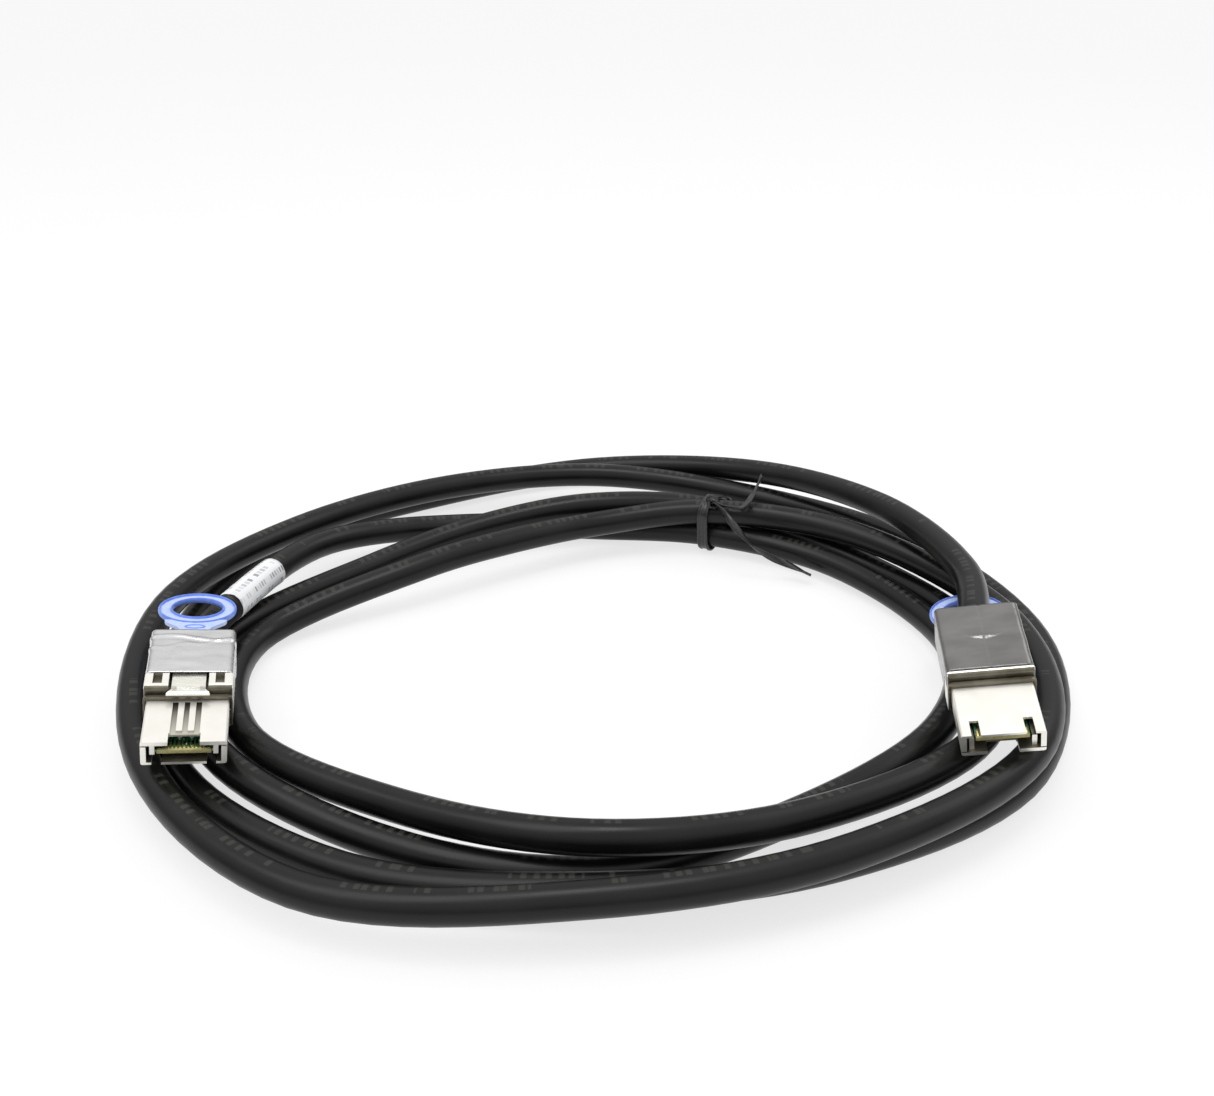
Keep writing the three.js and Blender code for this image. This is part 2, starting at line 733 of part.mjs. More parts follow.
// A flat tail of the tie
function tieTail(points) {
  const section = new THREE.Shape([
    new THREE.Vector2(-tieThickness / 2, -tieTailWidth / 2),
    new THREE.Vector2(tieThickness / 2, -tieTailWidth / 2),
    new THREE.Vector2(tieThickness / 2, tieTailWidth / 2),
    new THREE.Vector2(-tieThickness / 2, tieTailWidth / 2),
  ]);
  const path = new THREE.CatmullRomCurve3(points.map((point) => new THREE.Vector3(...point)));
  return solid(tube(section, path, points.length * 2));
}

// Where the three inner strands meet the tie's two edges and its middle: [out from the coil's centre, up]
function tiedStrands(route) {
  const last = route.points.length - 1;
  const edge = THREE.MathUtils.radToDeg(tieWidth / 2 / turns[2][2][0]);
  const places = [];
  for (const turn of [2, 3, 4]) {
    for (const offset of [-edge, 0, edge]) {
      const knot = leadPoints + (turn * 360 + tieTurnAngle + offset) / knotAngle;
      const point = route.getPoint(knot / last);
      places.push([Math.hypot(point.x - coilCentre.x, point.y - coilCentre.y), point.z]);
    }
  }
  return places;
}

// Twist tie round the three inner strands: a band, a knot on top and two tails
function twistTie(route) {
  const places = tiedStrands(route);
  const radius = cableDiameter / 2 + fitGap + 0.5;
  const outline = new THREE.Shape(bandOutline(places, radius + tieThickness));
  outline.holes.push(new THREE.Path(bandOutline(places, radius)));
  const band = solid(new THREE.ExtrudeGeometry(outline, { depth: tieWidth, bevelEnabled: false }))
    .translate([0, 0, -tieWidth / 2])
    .rotate([90, 0, tieTurnAngle])
    .translate([coilCentre.x, coilCentre.y, 0]);
  const ball = new THREE.SphereGeometry(tieKnotRadius, 14, 8);
  const knot = solid(ball).translate([tieKnot.x, tieKnot.y, tieKnot.z]);
  return join(band, knot, tieTail(longTail), tieTail(shortTail));
}

const object = new THREE.Group();
const first = buildPlug(plugB);
const last = buildPlug(plugA);
object.add(first, last);

const route = cableRoute(first, last);
const cableSteps = stepsPerKnot * (route.points.length - 1);
object.add(named('cable', tube(circleShape(cableDiameter / 2, cableSides), route, cableSteps), black));
object.add(named('cable_label', cableWrap(route), labelWhite));

object.add(named('twist_tie', twistTie(route), black));

export default object;
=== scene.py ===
"""Looks of an external mini SAS cable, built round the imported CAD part. Metres, +Z up."""

import math

import bmesh
import bpy
from mathutils import Matrix, Vector, noise


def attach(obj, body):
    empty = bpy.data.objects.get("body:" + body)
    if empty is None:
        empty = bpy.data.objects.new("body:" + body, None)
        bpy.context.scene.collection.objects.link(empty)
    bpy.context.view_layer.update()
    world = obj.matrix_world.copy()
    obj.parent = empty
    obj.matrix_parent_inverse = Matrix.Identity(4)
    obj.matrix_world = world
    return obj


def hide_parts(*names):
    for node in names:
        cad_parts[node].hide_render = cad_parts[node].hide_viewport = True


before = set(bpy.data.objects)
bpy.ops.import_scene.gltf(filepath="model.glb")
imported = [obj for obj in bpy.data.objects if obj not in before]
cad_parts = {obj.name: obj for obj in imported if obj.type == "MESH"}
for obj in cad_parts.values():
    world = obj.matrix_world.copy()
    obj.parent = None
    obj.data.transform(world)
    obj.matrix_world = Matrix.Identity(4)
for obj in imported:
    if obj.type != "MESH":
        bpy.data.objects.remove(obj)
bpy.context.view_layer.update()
MM = 0.001
BASE = "cable_body"

# The cable's lie, as [radius from the coil's centre, height], 30 degrees apart, in millimetres.
# The knots before and after the coil are the cable's straight leads out of the plugs.
COIL_CENTRE = (-2.1, -1.6)
KNOT_ANGLE = 30
LEAD_POINTS = 2
CABLE_DIAMETER = 7.2
TURNS = [
    [(91.5, 24), (93, 19.5), (99.5, 12.5), (104.5, 5.5), (100.5, 4), (107.5, 4),
     (105.5, 4), (105.5, 4), (98, 4), (93.5, 6.5), (97, 5), (109.5, 4)],
    [(112.5, 4), (105.5, 4.5), (96, 5.5), (92.5, 8.5), (92.5, 10), (99, 11),
     (108, 13.5), (111.5, 9.5), (110, 8.5), (100.5, 11), (101.5, 11.5), (110, 12)],
    [(104.5, 10), (84.5, 12.5), (66, 12.6), (53.5, 10.5), (48, 11), (54.5, 10.5),
     (86, 4), (89.5, 7), (81, 8), (85.5, 12.5), (87, 9.5), (98, 9.5)],
    [(97.5, 5), (85.5, 4), (74, 9.5), (62.5, 12.4), (63.5, 9.5), (72, 6),
     (95, 4), (97.5, 7.5), (88, 4), (86, 4), (80.5, 4), (88.5, 8)],
    [(89.5, 4), (77.5, 5), (66.5, 5.2), (64, 4), (75.5, 4), (88, 9.5), (92, 13.5)],
]

# How each plug lies, in millimetres and degrees, as in the CAD source
PLUGS = {
    "a": {"at": (-89.1, -51, 17.4), "yaw": 12.6, "pitch": 3, "roll": 8, "latch_up": True, "bend": 10},
    "b": {"at": (83.4, -49.8, 20.9), "yaw": -4.5, "pitch": 10, "roll": -10, "latch_up": False, "bend": -13},
}
SHELL = {"width": 18.2, "height": 11.2, "length": 22, "foil": 17, "foil_under": 20.9}
SEAM, SEAM_GAP = -0.6, 0.3
FIT_GAP = 0.3
JACKET_INSET, LEAD_LENGTH = 1.6, 1


def plug_matrix(plug):
    """From a plug's own frame, in millimetres, to the object's frame, in metres."""
    turn = (
        Matrix.Rotation(math.radians(plug["yaw"]), 4, "Z")
        @ Matrix.Rotation(math.radians(plug["pitch"]), 4, "X")
        @ Matrix.Rotation(math.radians(plug["roll"]), 4, "Y")
    )
    flip = Matrix.Rotation(math.pi, 4, "Z" if plug["latch_up"] else "X")
    return Matrix.Scale(MM, 4) @ Matrix.Translation(plug["at"]) @ turn @ flip


MATRIX = {name: plug_matrix(plug) for name, plug in PLUGS.items()}


# Route of the cable

def coil_point(index, radius, height):
    angle = math.radians(index * KNOT_ANGLE)
    return Vector((
        COIL_CENTRE[0] + radius * math.cos(angle),
        COIL_CENTRE[1] + radius * math.sin(angle),
        height,
    )) * MM


def route_knots():
    flat = [pair for turn in TURNS for pair in turn]
    inside, outside = JACKET_INSET - SHELL["length"], -SHELL["length"] - LEAD_LENGTH
    return (
        [MATRIX["b"] @ Vector((0, y, SEAM)) for y in (inside, outside)]
        + [coil_point(i, *pair) for i, pair in enumerate(flat)]
        + [MATRIX["a"] @ Vector((0, y, SEAM)) for y in (outside, inside)]
    )


def route_point(knots, place):
    """A point of the centripetal curve through the knots, place counted in knots."""
    last = len(knots) - 1
    i = min(int(place), last - 1)
    w = place - i
    before = knots[i - 1] if i else knots[0] * 2 - knots[1]
    after = knots[i + 2] if i + 2 <= last else knots[last] * 2 - knots[last - 1]
    p1, p2 = knots[i], knots[i + 1]
    d0, d1, d2 = ((b - a).length ** 0.5 for a, b in ((before, p1), (p1, p2), (p2, after)))
    t1 = ((p1 - before) / d0 - (p2 - before) / (d0 + d1) + (p2 - p1) / d1) * d1
    t2 = ((p2 - p1) / d1 - (after - p1) / (d1 + d2) + (after - p2) / d2) * d1
    return (
        p1 + t1 * w
        + (p2 * 3 - p1 * 3 - t1 * 2 - t2) * w * w
        + (p1 * 2 - p2 * 2 + t1 + t2) * w ** 3
    )


KNOTS = route_knots()


def route(first, last, per_knot):
    """Evenly spaced places on the cable's line, from one knot's number to another's."""
    count = round((last - first) * per_knot)
    return [route_point(KNOTS, first + (last - first) * i / count) for i in range(count + 1)]


# Mesh helpers

MERGE_DISTANCE = 2e-6
FLAT_ANGLE = math.radians(0.6)
EDGE_ANGLE = math.radians(35)
SHARP_ANGLE = math.radians(50)


def linked(name, mesh):
    """A new object in the scene that shows a mesh."""
    obj = bpy.data.objects.new(name, mesh)
    bpy.context.collection.objects.link(obj)
    return obj


def shade_smooth(mesh):
    mesh.polygons.foreach_set("use_smooth", [True] * len(mesh.polygons))
    mesh.set_sharp_from_angle(angle=SHARP_ANGLE)


def mesh_object(name, verts, faces, material, smooth=True):
    mesh = bpy.data.meshes.new(name)
    mesh.from_pydata([tuple(v) for v in verts], [], faces)
    mesh.polygons.foreach_set("use_smooth", [smooth] * len(mesh.polygons))
    mesh.materials.append(material)
    return linked(name, mesh)


def frames_along(points):
    """Side and up at each point, carried along without twist."""
    up = Vector((0, 0, 1))
    frames = []
    for i in range(len(points)):
        ahead = points[min(i + 1, len(points) - 1)]
        behind = points[max(i - 1, 0)]
        tangent = (ahead - behind).normalized()
        side = tangent.cross(up).normalized()
        up = side.cross(tangent).normalized()
        frames.append((side, up))
    return frames


def tube(name, points, radius, sides, material, capped, wobble):
    """A round tube whose radius varies by wobble(station, angle).

    Its UV map has U along it in metres and V once round it.
    """
    verts, faces = [], []
    for i, (point, (side, up)) in enumerate(zip(points, frames_along(points))):
        for j in range(sides):
            angle = 2 * math.pi * j / sides
            r = radius + wobble(i, angle)
            verts.append(point + (side * math.cos(angle) + up * math.sin(angle)) * r)
    for i in range(len(points) - 1):
        for j in range(sides):
            a, b = i * sides + j, i * sides + (j + 1) % sides
            faces.append((a, b, b + sides, a + sides))
    walls = len(faces)
    if capped:
        faces.append(tuple(reversed(range(sides))))
        faces.append(tuple(range((len(points) - 1) * sides, len(points) * sides)))
    obj = mesh_object(name, verts, faces, material)
    along = [0.0]
    for a, b in zip(points, points[1:]):
        along.append(along[-1] + (b - a).length)
    uv = obj.data.uv_layers.new(name="along")
    for polygon in obj.data.polygons[:walls]:
        i, j = divmod(polygon.index, sides)
        for corner, loop in enumerate(polygon.loop_indices):
            station = i + (1 if corner in (2, 3) else 0)
            turn = j + (1 if corner in (1, 2) else 0)
            uv.data[loop].uv = (along[station], turn / sides)
    flip_if_inside_out(obj)
    return obj


def flip_if_inside_out(obj):
    bm = bmesh.new()
    bm.from_mesh(obj.data)
    bmesh.ops.recalc_face_normals(bm, faces=bm.faces)
    bm.to_mesh(obj.data)
    bm.free()


def round_edges(bm, radius):
    sharp = [
        edge for edge in bm.edges
        if len(edge.link_faces) == 2 and edge.calc_face_angle(0) > EDGE_ANGLE
    ]
    bmesh.ops.bevel(
        bm, geom=sharp, offset=radius, offset_type="OFFSET", segments=2,
        profile=0.5, affect="EDGES", clamp_overlap=True,
    )


def refined(node, materials, radius, pick=None):
    """A CAD node's own shape with small rounded edges, shown in its place.

    pick(place, normal) gives a face's material, from both in the plug's own frame.
    """
    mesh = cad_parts[node].data.copy()
    bm = bmesh.new()
    bm.from_mesh(mesh)
    bmesh.ops.remove_doubles(bm, verts=bm.verts, dist=MERGE_DISTANCE)
    bmesh.ops.dissolve_limit(bm, angle_limit=FLAT_ANGLE, verts=bm.verts, edges=bm.edges)
    round_edges(bm, radius * MM)
    if pick:
        home = MATRIX[node[0]].inverted()
        turn = home.to_3x3().normalized()
        for face in bm.faces:
            face.material_index = pick(home @ face.calc_center_median(), turn @ face.normal)
    mesh.materials.clear()
    for material in materials:
        mesh.materials.append(material)
    bm.to_mesh(mesh)
    bm.free()
    shade_smooth(mesh)
    obj = linked(node + "_look", mesh)
    obj.modifiers.new("even_normals", "WEIGHTED_NORMAL").keep_sharp = True
    return obj


# Materials

def new_material(name, color, roughness, metallic=0.0):
    material = bpy.data.materials.new(name)
    material.use_nodes = True
    shader = material.node_tree.nodes["Principled BSDF"]
    shader.inputs["Base Color"].default_value = (*color, 1)
    shader.inputs["Roughness"].default_value = roughness
    shader.inputs["Metallic"].default_value = metallic
    return material, material.node_tree, shader


def add(tree, kind, **values):
    """A new node, with each value set on the socket of that name or else on the node itself."""
    node = tree.nodes.new(kind)
    for key, value in values.items():
        if key in node.inputs:
            node.inputs[key].default_value = value
        else:
            setattr(node, key, value)
    return node


def noise_node(tree, scale, detail=4.0, stretch=(1, 1, 1)):
    coords = add(tree, "ShaderNodeTexCoord")
    mapping = add(tree, "ShaderNodeMapping", Scale=stretch)
    tree.links.new(coords.outputs["Object"], mapping.inputs["Vector"])
    texture = add(tree, "ShaderNodeTexNoise", Scale=scale, Detail=detail)
    tree.links.new(mapping.outputs["Vector"], texture.inputs["Vector"])
    return texture


def ramp(tree, source, low, high, low_color, high_color):
    node = add(tree, "ShaderNodeValToRGB")
    node.color_ramp.elements[0].position = low
    node.color_ramp.elements[0].color = (*low_color, 1)
    node.color_ramp.elements[1].position = high
    node.color_ramp.elements[1].color = (*high_color, 1)
    tree.links.new(source, node.inputs["Fac"])
    return node.outputs["Color"]


def bump(tree, shader, source, strength, distance):
    node = add(tree, "ShaderNodeBump", Strength=strength, Distance=distance)
    tree.links.new(source, node.inputs["Height"])
    tree.links.new(node.outputs["Normal"], shader.inputs["Normal"])
    return node


def map_range(tree, source, from_range, to_range=(0, 1)):
    node = add(tree, "ShaderNodeMapRange")
    for word, (low, high) in (("From", from_range), ("To", to_range)):
        node.inputs[f"{word} Min"].default_value = low
        node.inputs[f"{word} Max"].default_value = high
    tree.links.new(source, node.inputs["Value"])
    return node.outputs["Result"]


def vary_roughness(tree, shader, source, low, high):
    """Roughness from low to high over the middle of a noise's reach."""
    tree.links.new(map_range(tree, source, (0.3, 0.7), (low, high)), shader.inputs["Roughness"])


def grained(name, dark, light, rough, metallic, scale, height, stretch=(1, 1, 1), detail=4.0):
    """A material whose colour, roughness and surface all vary with one noise."""
    material, tree, shader = new_material(name, dark, rough[0], metallic)
    grain = noise_node(tree, scale, detail, stretch)
    color = ramp(tree, grain.outputs["Fac"], 0.35, 0.65, dark, light)
    tree.links.new(color, shader.inputs["Base Color"])
    vary_roughness(tree, shader, grain.outputs["Fac"], *rough)
    bump(tree, shader, grain.outputs["Fac"], 0.35, height * MM)
    return material


def jacket_print(tree):
    """1 on the strokes of a faint broken row of print along one side, and 0 elsewhere."""
    links = tree.links
    stroke_density, stroke_half = 420, 0.24
    word_density, word_limit = 55, 0.5
    row_place, row_half = 0.3, 0.04

    def math_node(operation, a, b):
        node = add(tree, "ShaderNodeMath", operation=operation)
        for socket, value in zip(node.inputs, (a, b)):
            if isinstance(value, (int, float)):
                socket.default_value = value
            else:
                links.new(value, socket)
        return node.outputs["Value"]

    coords = add(tree, "ShaderNodeUVMap", uv_map="along")
    split = add(tree, "ShaderNodeSeparateXYZ")
    links.new(coords.outputs["UV"], split.inputs["Vector"])
    along, around = split.outputs["X"], split.outputs["Y"]
    cells = add(
        tree, "ShaderNodeTexVoronoi", voronoi_dimensions="1D", feature="F1",
        Scale=stroke_density, Randomness=0.6,
    )
    links.new(along, cells.inputs["W"])
    stroke = math_node("LESS_THAN", cells.outputs["Distance"], stroke_half)
    words = add(tree, "ShaderNodeTexNoise", noise_dimensions="1D", Scale=word_density, Detail=1)
    links.new(along, words.inputs["W"])
    word = math_node("GREATER_THAN", words.outputs["Fac"], word_limit)
    from_row = math_node("ABSOLUTE", math_node("SUBTRACT", around, row_place), 0)
    row = math_node("LESS_THAN", from_row, row_half)
    return math_node("MULTIPLY", math_node("MULTIPLY", math_node("MULTIPLY", stroke, word), row), 0.4)


def jacket_material():
    """Black jacket: soft mottled sheen, and a faint broken row of print."""
    material, tree, shader = new_material("jacket", (0.012, 0.012, 0.012), 0.4)
    links = tree.links
    fine = noise_node(tree, 2600, 3)
    broad = noise_node(tree, 60, 4)
    base = ramp(tree, broad.outputs["Fac"], 0.3, 0.7, (0.0035, 0.0036, 0.0034), (0.0075, 0.0078, 0.0072))
    mixed = add(tree, "ShaderNodeMix", data_type="RGBA")
    links.new(jacket_print(tree), mixed.inputs["Factor"])
    links.new(base, mixed.inputs["A"])
    mixed.inputs["B"].default_value = (0.06, 0.06, 0.05, 1)
    links.new(mixed.outputs["Result"], shader.inputs["Base Color"])
    vary_roughness(tree, shader, broad.outputs["Fac"], 0.27, 0.38)
    bump(tree, shader, fine.outputs["Fac"], 0.25, 0.02 * MM)
    shader.inputs["Specular IOR Level"].default_value = 0.28
    return material


def wrinkled(name, dark, light, rough, metallic, scale, height):
    """Foil or tape: broad soft wrinkles with finer creases over them, and painted shade in the hollows of the
    broad ones.
    """
    material, tree, shader = new_material(name, dark, rough[0], metallic)
    broad = noise_node(tree, scale, 2, (1, 2.2, 1))
    fine = noise_node(tree, scale * 5, 5, (1, 1.6, 1))
    # The colour is darker where the broad wrinkles sink, from the same noise as their bump: painted shade in
    # the hollows.
    color = ramp(tree, broad.outputs["Fac"], 0.3, 0.7, dark, light)
    tree.links.new(color, shader.inputs["Base Color"])
    vary_roughness(tree, shader, fine.outputs["Fac"], *rough)
    first = bump(tree, shader, broad.outputs["Fac"], 0.5, height * MM)
    second = add(tree, "ShaderNodeBump", Strength=0.15, Distance=height * 0.02 * MM)
    tree.links.new(fine.outputs["Fac"], second.inputs["Height"])
    tree.links.new(second.outputs["Normal"], first.inputs["Normal"])
    return material


def label_material():
    """White paper with a few generic grey bars where a real label has print."""
    paper_color = (0.82, 0.83, 0.85)
    bars_per_metre = 130
    material, tree, shader = new_material("paper_label", paper_color, 0.5)
    links = tree.links
    coords = add(tree, "ShaderNodeUVMap", uv_map="along")
    mapping = add(tree, "ShaderNodeMapping", Scale=(bars_per_metre, 1, 1))
    links.new(coords.outputs["UV"], mapping.inputs["Vector"])
    bricks = add(tree, "ShaderNodeTexBrick", offset=0.37, squash=0.7, squash_frequency=3, **{
        "Color1": (0.25, 0.26, 0.28, 1), "Color2": (0.8, 0.81, 0.83, 1), "Mortar": (*paper_color, 1),
        "Scale": 1, "Mortar Size": 0.035, "Mortar Smooth": 0.2, "Bias": 0.1,
        "Brick Width": 0.22, "Row Height": 0.12,
    })
    links.new(mapping.outputs["Vector"], bricks.inputs["Vector"])
    links.new(bricks.outputs["Color"], shader.inputs["Base Color"])
    paper = noise_node(tree, 900, 4)
    bump(tree, shader, paper.outputs["Fac"], 0.2, 0.03 * MM)
    return material


def card_material():
    """Green card with pale printed marks."""
    material, tree, shader = new_material("card", (0.02, 0.12, 0.05), 0.35)
    cells = add(tree, "ShaderNodeTexVoronoi", feature="F1")
    cells.inputs["Scale"].default_value = 900
    coords = add(tree, "ShaderNodeTexCoord")
    tree.links.new(coords.outputs["Object"], cells.inputs["Vector"])
    marks = ramp(tree, cells.outputs["Distance"], 0.16, 0.2, (0.75, 0.78, 0.72), (0.018, 0.13, 0.05))
    tree.links.new(marks, shader.inputs["Base Color"])
    shader.inputs["Coat Weight"].default_value = 0.3
    return material


JACKET = jacket_material()
NICKEL = grained("nickel", (0.91, 0.89, 0.82), (0.95, 0.93, 0.87), (0.3, 0.36), 0.7, 260, 0.0006, detail=3)
BRIGHT = grained(
    "bright_steel", (0.80, 0.79, 0.72), (0.86, 0.85, 0.78), (0.22, 0.3), 0.85, 300, 0.0003,
    stretch=(1, 4, 1), detail=2,
)
# Nickel darkened as painted shade, for faces that lie in shade: window pockets, the shoulder's front, inside
# the nose, under the tab, the collar and the lip's lower edge and root.
SHADE = grained("nickel_painted_shade", (0.15, 0.135, 0.10), (0.24, 0.22, 0.17), (0.28, 0.4), 0.8, 260, 0.002)
FOIL = wrinkled("silver_foil", (0.62, 0.62, 0.63), (0.72, 0.72, 0.72), (0.22, 0.3), 0.9, 120, 0.1)
TAPE = wrinkled("grey_tape", (0.16, 0.155, 0.15), (0.22, 0.215, 0.21), (0.16, 0.26), 0.6, 110, 0.2)
BLUE = grained("blue_plastic", (0.14, 0.24, 0.74), (0.18, 0.30, 0.82), (0.28, 0.38), 0.0, 800, 0.006)
# A paler copy of the blue plastic: painted light showing through the thin web, neck and strap.
BLUE_LIT_THROUGH = grained("blue_plastic_painted_light", (0.44, 0.55, 0.90), (0.52, 0.62, 0.94), (0.3, 0.4), 0.0, 800, 0.006)
PAPER = label_material()
TIE = grained("tie_plastic", (0.010, 0.010, 0.010), (0.022, 0.022, 0.022), (0.25, 0.4), 0.0, 1500, 0.03)
CARD = card_material()
GOLD = grained("gold", (0.83, 0.58, 0.17), (0.95, 0.72, 0.28), (0.22, 0.34), 1.0, 1200, 0.002)
CARD_EDGE = grained("card_edge", (0.36, 0.33, 0.13), (0.5, 0.46, 0.22), (0.5, 0.7), 0.0, 1800, 0.01)
COPPER = grained("copper_alloy", (0.6, 0.36, 0.2), (0.74, 0.48, 0.3), (0.3, 0.45), 1.0, 900, 0.01)
PAIR = grained("pair_foil", (0.5, 0.52, 0.55), (0.66, 0.68, 0.7), (0.3, 0.5), 0.7, 900, 0.03)
GRIP = grained("grip_plastic", (0.05, 0.05, 0.052), (0.08, 0.08, 0.083), (0.5, 0.65), 0.0, 900, 0.03)
CARD_PRINT = grained("silkscreen", (0.7, 0.72, 0.68), (0.82, 0.83, 0.8), (0.4, 0.6), 0.0, 1500, 0.01)


def groove_shadow_material(tag):
    """Nickel with a painted shadow of the lip, darkening towards the root of the nose, for the key channel's
    floor and walls.
    """
    shadow_at, fade_length = 1.9, 10
    material, tree, shader = new_material(f"{tag}_groove", (0.5, 0.48, 0.42), 0.34, 0.7)
    coords = add(tree, "ShaderNodeTexCoord")
    along = add(tree, "ShaderNodeVectorMath", operation="DOT_PRODUCT")
    axis = MATRIX[tag].to_3x3().normalized() @ Vector((0, 1, 0))
    along.inputs[1].default_value = axis
    tree.links.new(coords.outputs["Object"], along.inputs[0])
    start = (MATRIX[tag] @ Vector((0, shadow_at, 0))).dot(axis)
    reach = map_range(tree, along.outputs["Value"], (start, start + fade_length * MM))
    # Painted shadow: dark at the root under the lip, fading to lit nickel towards the front.
    color = ramp(tree, reach, 0.0, 1.0, (0.05, 0.045, 0.035), (0.6, 0.58, 0.5))
    tree.links.new(color, shader.inputs["Base Color"])
    return material


GROOVE = {name: groove_shadow_material(name) for name in PLUGS}


# Camera, at the photograph's angle

IMAGE_WIDTH = 1214
FOCAL_PIXELS = 1250
SENSOR_WIDTH = 36
CAMERA_PLACE = (0.9, -273.6, 172)
CAMERA_DOWN = 27.5

camera_data = bpy.data.cameras.new("camera")
camera_data.sensor_fit = "HORIZONTAL"
camera_data.sensor_width = SENSOR_WIDTH
camera_data.lens = FOCAL_PIXELS * SENSOR_WIDTH / IMAGE_WIDTH
camera_data.clip_start = 0.01
camera_data.clip_end = 20
camera = bpy.data.objects.new("camera", camera_data)
camera.location = Vector(CAMERA_PLACE) * MM
camera.rotation_euler = (math.radians(90 - CAMERA_DOWN), 0, 0)
bpy.context.collection.objects.link(camera)
bpy.context.scene.camera = camera


# The cable

CABLE_STEPS, CABLE_SIDES = 10, 28


def jacket_wobble(i, angle):
    return 0.02 * MM * noise.noise(Vector((i * 0.35, math.cos(angle) * 1.5, math.sin(angle) * 1.5)))


cable_path = route(0, len(KNOTS) - 1, CABLE_STEPS)
cable = tube("cable_jacket", cable_path, CABLE_DIAMETER / 2 * MM, CABLE_SIDES, JACKET, True, jacket_wobble)
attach(cable, BASE)
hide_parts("cable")

# Wrap label near plug A, with a lapped edge and slight creases, between two angles round the coil

LABEL_FROM, LABEL_TO = 1605, 1620
LABEL = {"steps": 48, "sides": 48, "clearance": 0.2, "paper": 0.12, "lap": 0.1, "crease": 0.06}
LAP_ANGLES = (1.9, 2.5)
label_path = route(LEAD_POINTS + LABEL_FROM / KNOT_ANGLE, LEAD_POINTS + LABEL_TO / KNOT_ANGLE, LABEL["steps"])


def label_wobble(i, angle):
    lap = LABEL["lap"] if LAP_ANGLES[0] < angle < LAP_ANGLES[1] else 0
    crease = LABEL["crease"] * noise.noise(Vector((i * 0.4, math.cos(angle) * 2, math.sin(angle) * 2)))
    return (lap + crease) * MM


label_radius = (CABLE_DIAMETER / 2 + LABEL["clearance"]) * MM
label = tube("wrap_label", label_path, label_radius, LABEL["sides"], PAPER, False, label_wobble)
label.modifiers.new("paper", "SOLIDIFY").thickness = LABEL["paper"] * MM
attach(label, BASE)
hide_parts("cable_label")


# Plugs

def box_mesh(bm, low, high):
    for vert in bmesh.ops.create_cube(bm, size=1)["verts"]:
        vert.co = Vector([(a + b) / 2 + (b - a) * c for a, b, c in zip(low, high, vert.co)])


def blocks(*corners):
    """The build of one or more plain blocks, each from its lowest and highest corners."""
    def build(bm):
        for low, high in corners:
            box_mesh(bm, low, high)
    return build


def join_rings(bm, a, b):
    """Faces between two closed rows of points."""
    for i in range(len(a)):
        j = (i + 1) % len(a)
        bm.faces.new((a[i], a[j], b[j], b[i]))


def slab(bm, outer, inner):
    """A closed strip between two grids of points, each a list of rows."""
    last = len(outer[0]) - 1
    for a, b, a_in, b_in in zip(outer, outer[1:], inner, inner[1:]):
        for i in range(last):
            bm.faces.new((a[i], a[i + 1], b[i + 1], b[i]))
            bm.faces.new((a_in[i + 1], a_in[i], b_in[i], b_in[i + 1]))
        for i in (0, last):
            bm.faces.new((a[i], b[i], b_in[i], a_in[i]))
    for row, row_in in ((outer[0], inner[0]), (outer[-1], inner[-1])):
        for i in range(last):
            bm.faces.new((row[i], row_in[i], row_in[i + 1], row[i + 1]))


def local_piece(name, plug, build, material, body, radius=0.0, replaces=()):
    """A piece drawn in a plug's own frame, in millimetres, by build(bm), its edges rounded."""
    bm = bmesh.new()
    build(bm)
    if radius:
        round_edges(bm, radius)
    bmesh.ops.transform(bm, matrix=MATRIX[plug], verts=bm.verts)
    bmesh.ops.recalc_face_normals(bm, faces=bm.faces)
    mesh = bpy.data.meshes.new(name)
    bm.to_mesh(mesh)
    bm.free()
    mesh.materials.append(material)
    shade_smooth(mesh)
    obj = linked(name, mesh)
    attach(obj, body)
    if replaces:
        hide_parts(*replaces)
    return obj


# Foil on plug A and tape on plug B, each with its own creases

WRAP = {"clearance": 0.04, "corner": 1.3, "corner_steps": 4, "spacing": 0.45, "rows": 44, "film": 0.1}


def wrap_section():
    """Points round a rectangle with round corners, evenly spaced on its sides."""
    radius = WRAP["corner"]
    x = (SHELL["width"] + 2 * WRAP["clearance"]) / 2 - radius
    y = (SHELL["height"] + 2 * WRAP["clearance"]) / 2 - radius
    corners = [(x, -y, -90), (x, y, 0), (-x, y, 90), (-x, -y, 180)]
    points = []
    for k, (cx, cy, start) in enumerate(corners):
        for step in range(WRAP["corner_steps"] + 1):
            a = math.radians(start + 90 * step / WRAP["corner_steps"])
            points.append((cx + radius * math.cos(a), cy + radius * math.sin(a)))
        nx, ny, next_start = corners[(k + 1) % 4]
        a = math.radians(next_start)
        end = (nx + radius * math.cos(a), ny + radius * math.sin(a))
        sx, sy = points[-1]
        count = max(1, round(math.hypot(end[0] - sx, end[1] - sy) / WRAP["spacing"]))
        for step in range(1, count):
            t = step / count
            points.append((sx + (end[0] - sx) * t, sy + (end[1] - sy) * t))
    return points


def wrap_build(creases):
    """A thin wrap round the backshell, lifted by creases(x, y, z)."""
    def build(bm):
        outline = wrap_section()
        grid = []
        for r in range(WRAP["rows"] + 1):
            ring = []
            for x, z in outline:
                reach = SHELL["foil_under"] if z < SEAM - SEAM_GAP / 2 else SHELL["foil"]
                y = -SHELL["length"] + (reach - FIT_GAP) * r / WRAP["rows"]
                size = math.hypot(x, z)
                lift = creases(x, y, z)
                ring.append(bm.verts.new((x * (1 + lift / size), y, z * (1 + lift / size))))
            grid.append(ring)
        for a, b in zip(grid, grid[1:]):
            join_rings(bm, a, b)
    return build


def ridge(distance, width, height):
    return height * math.exp(-(distance / width) ** 2)


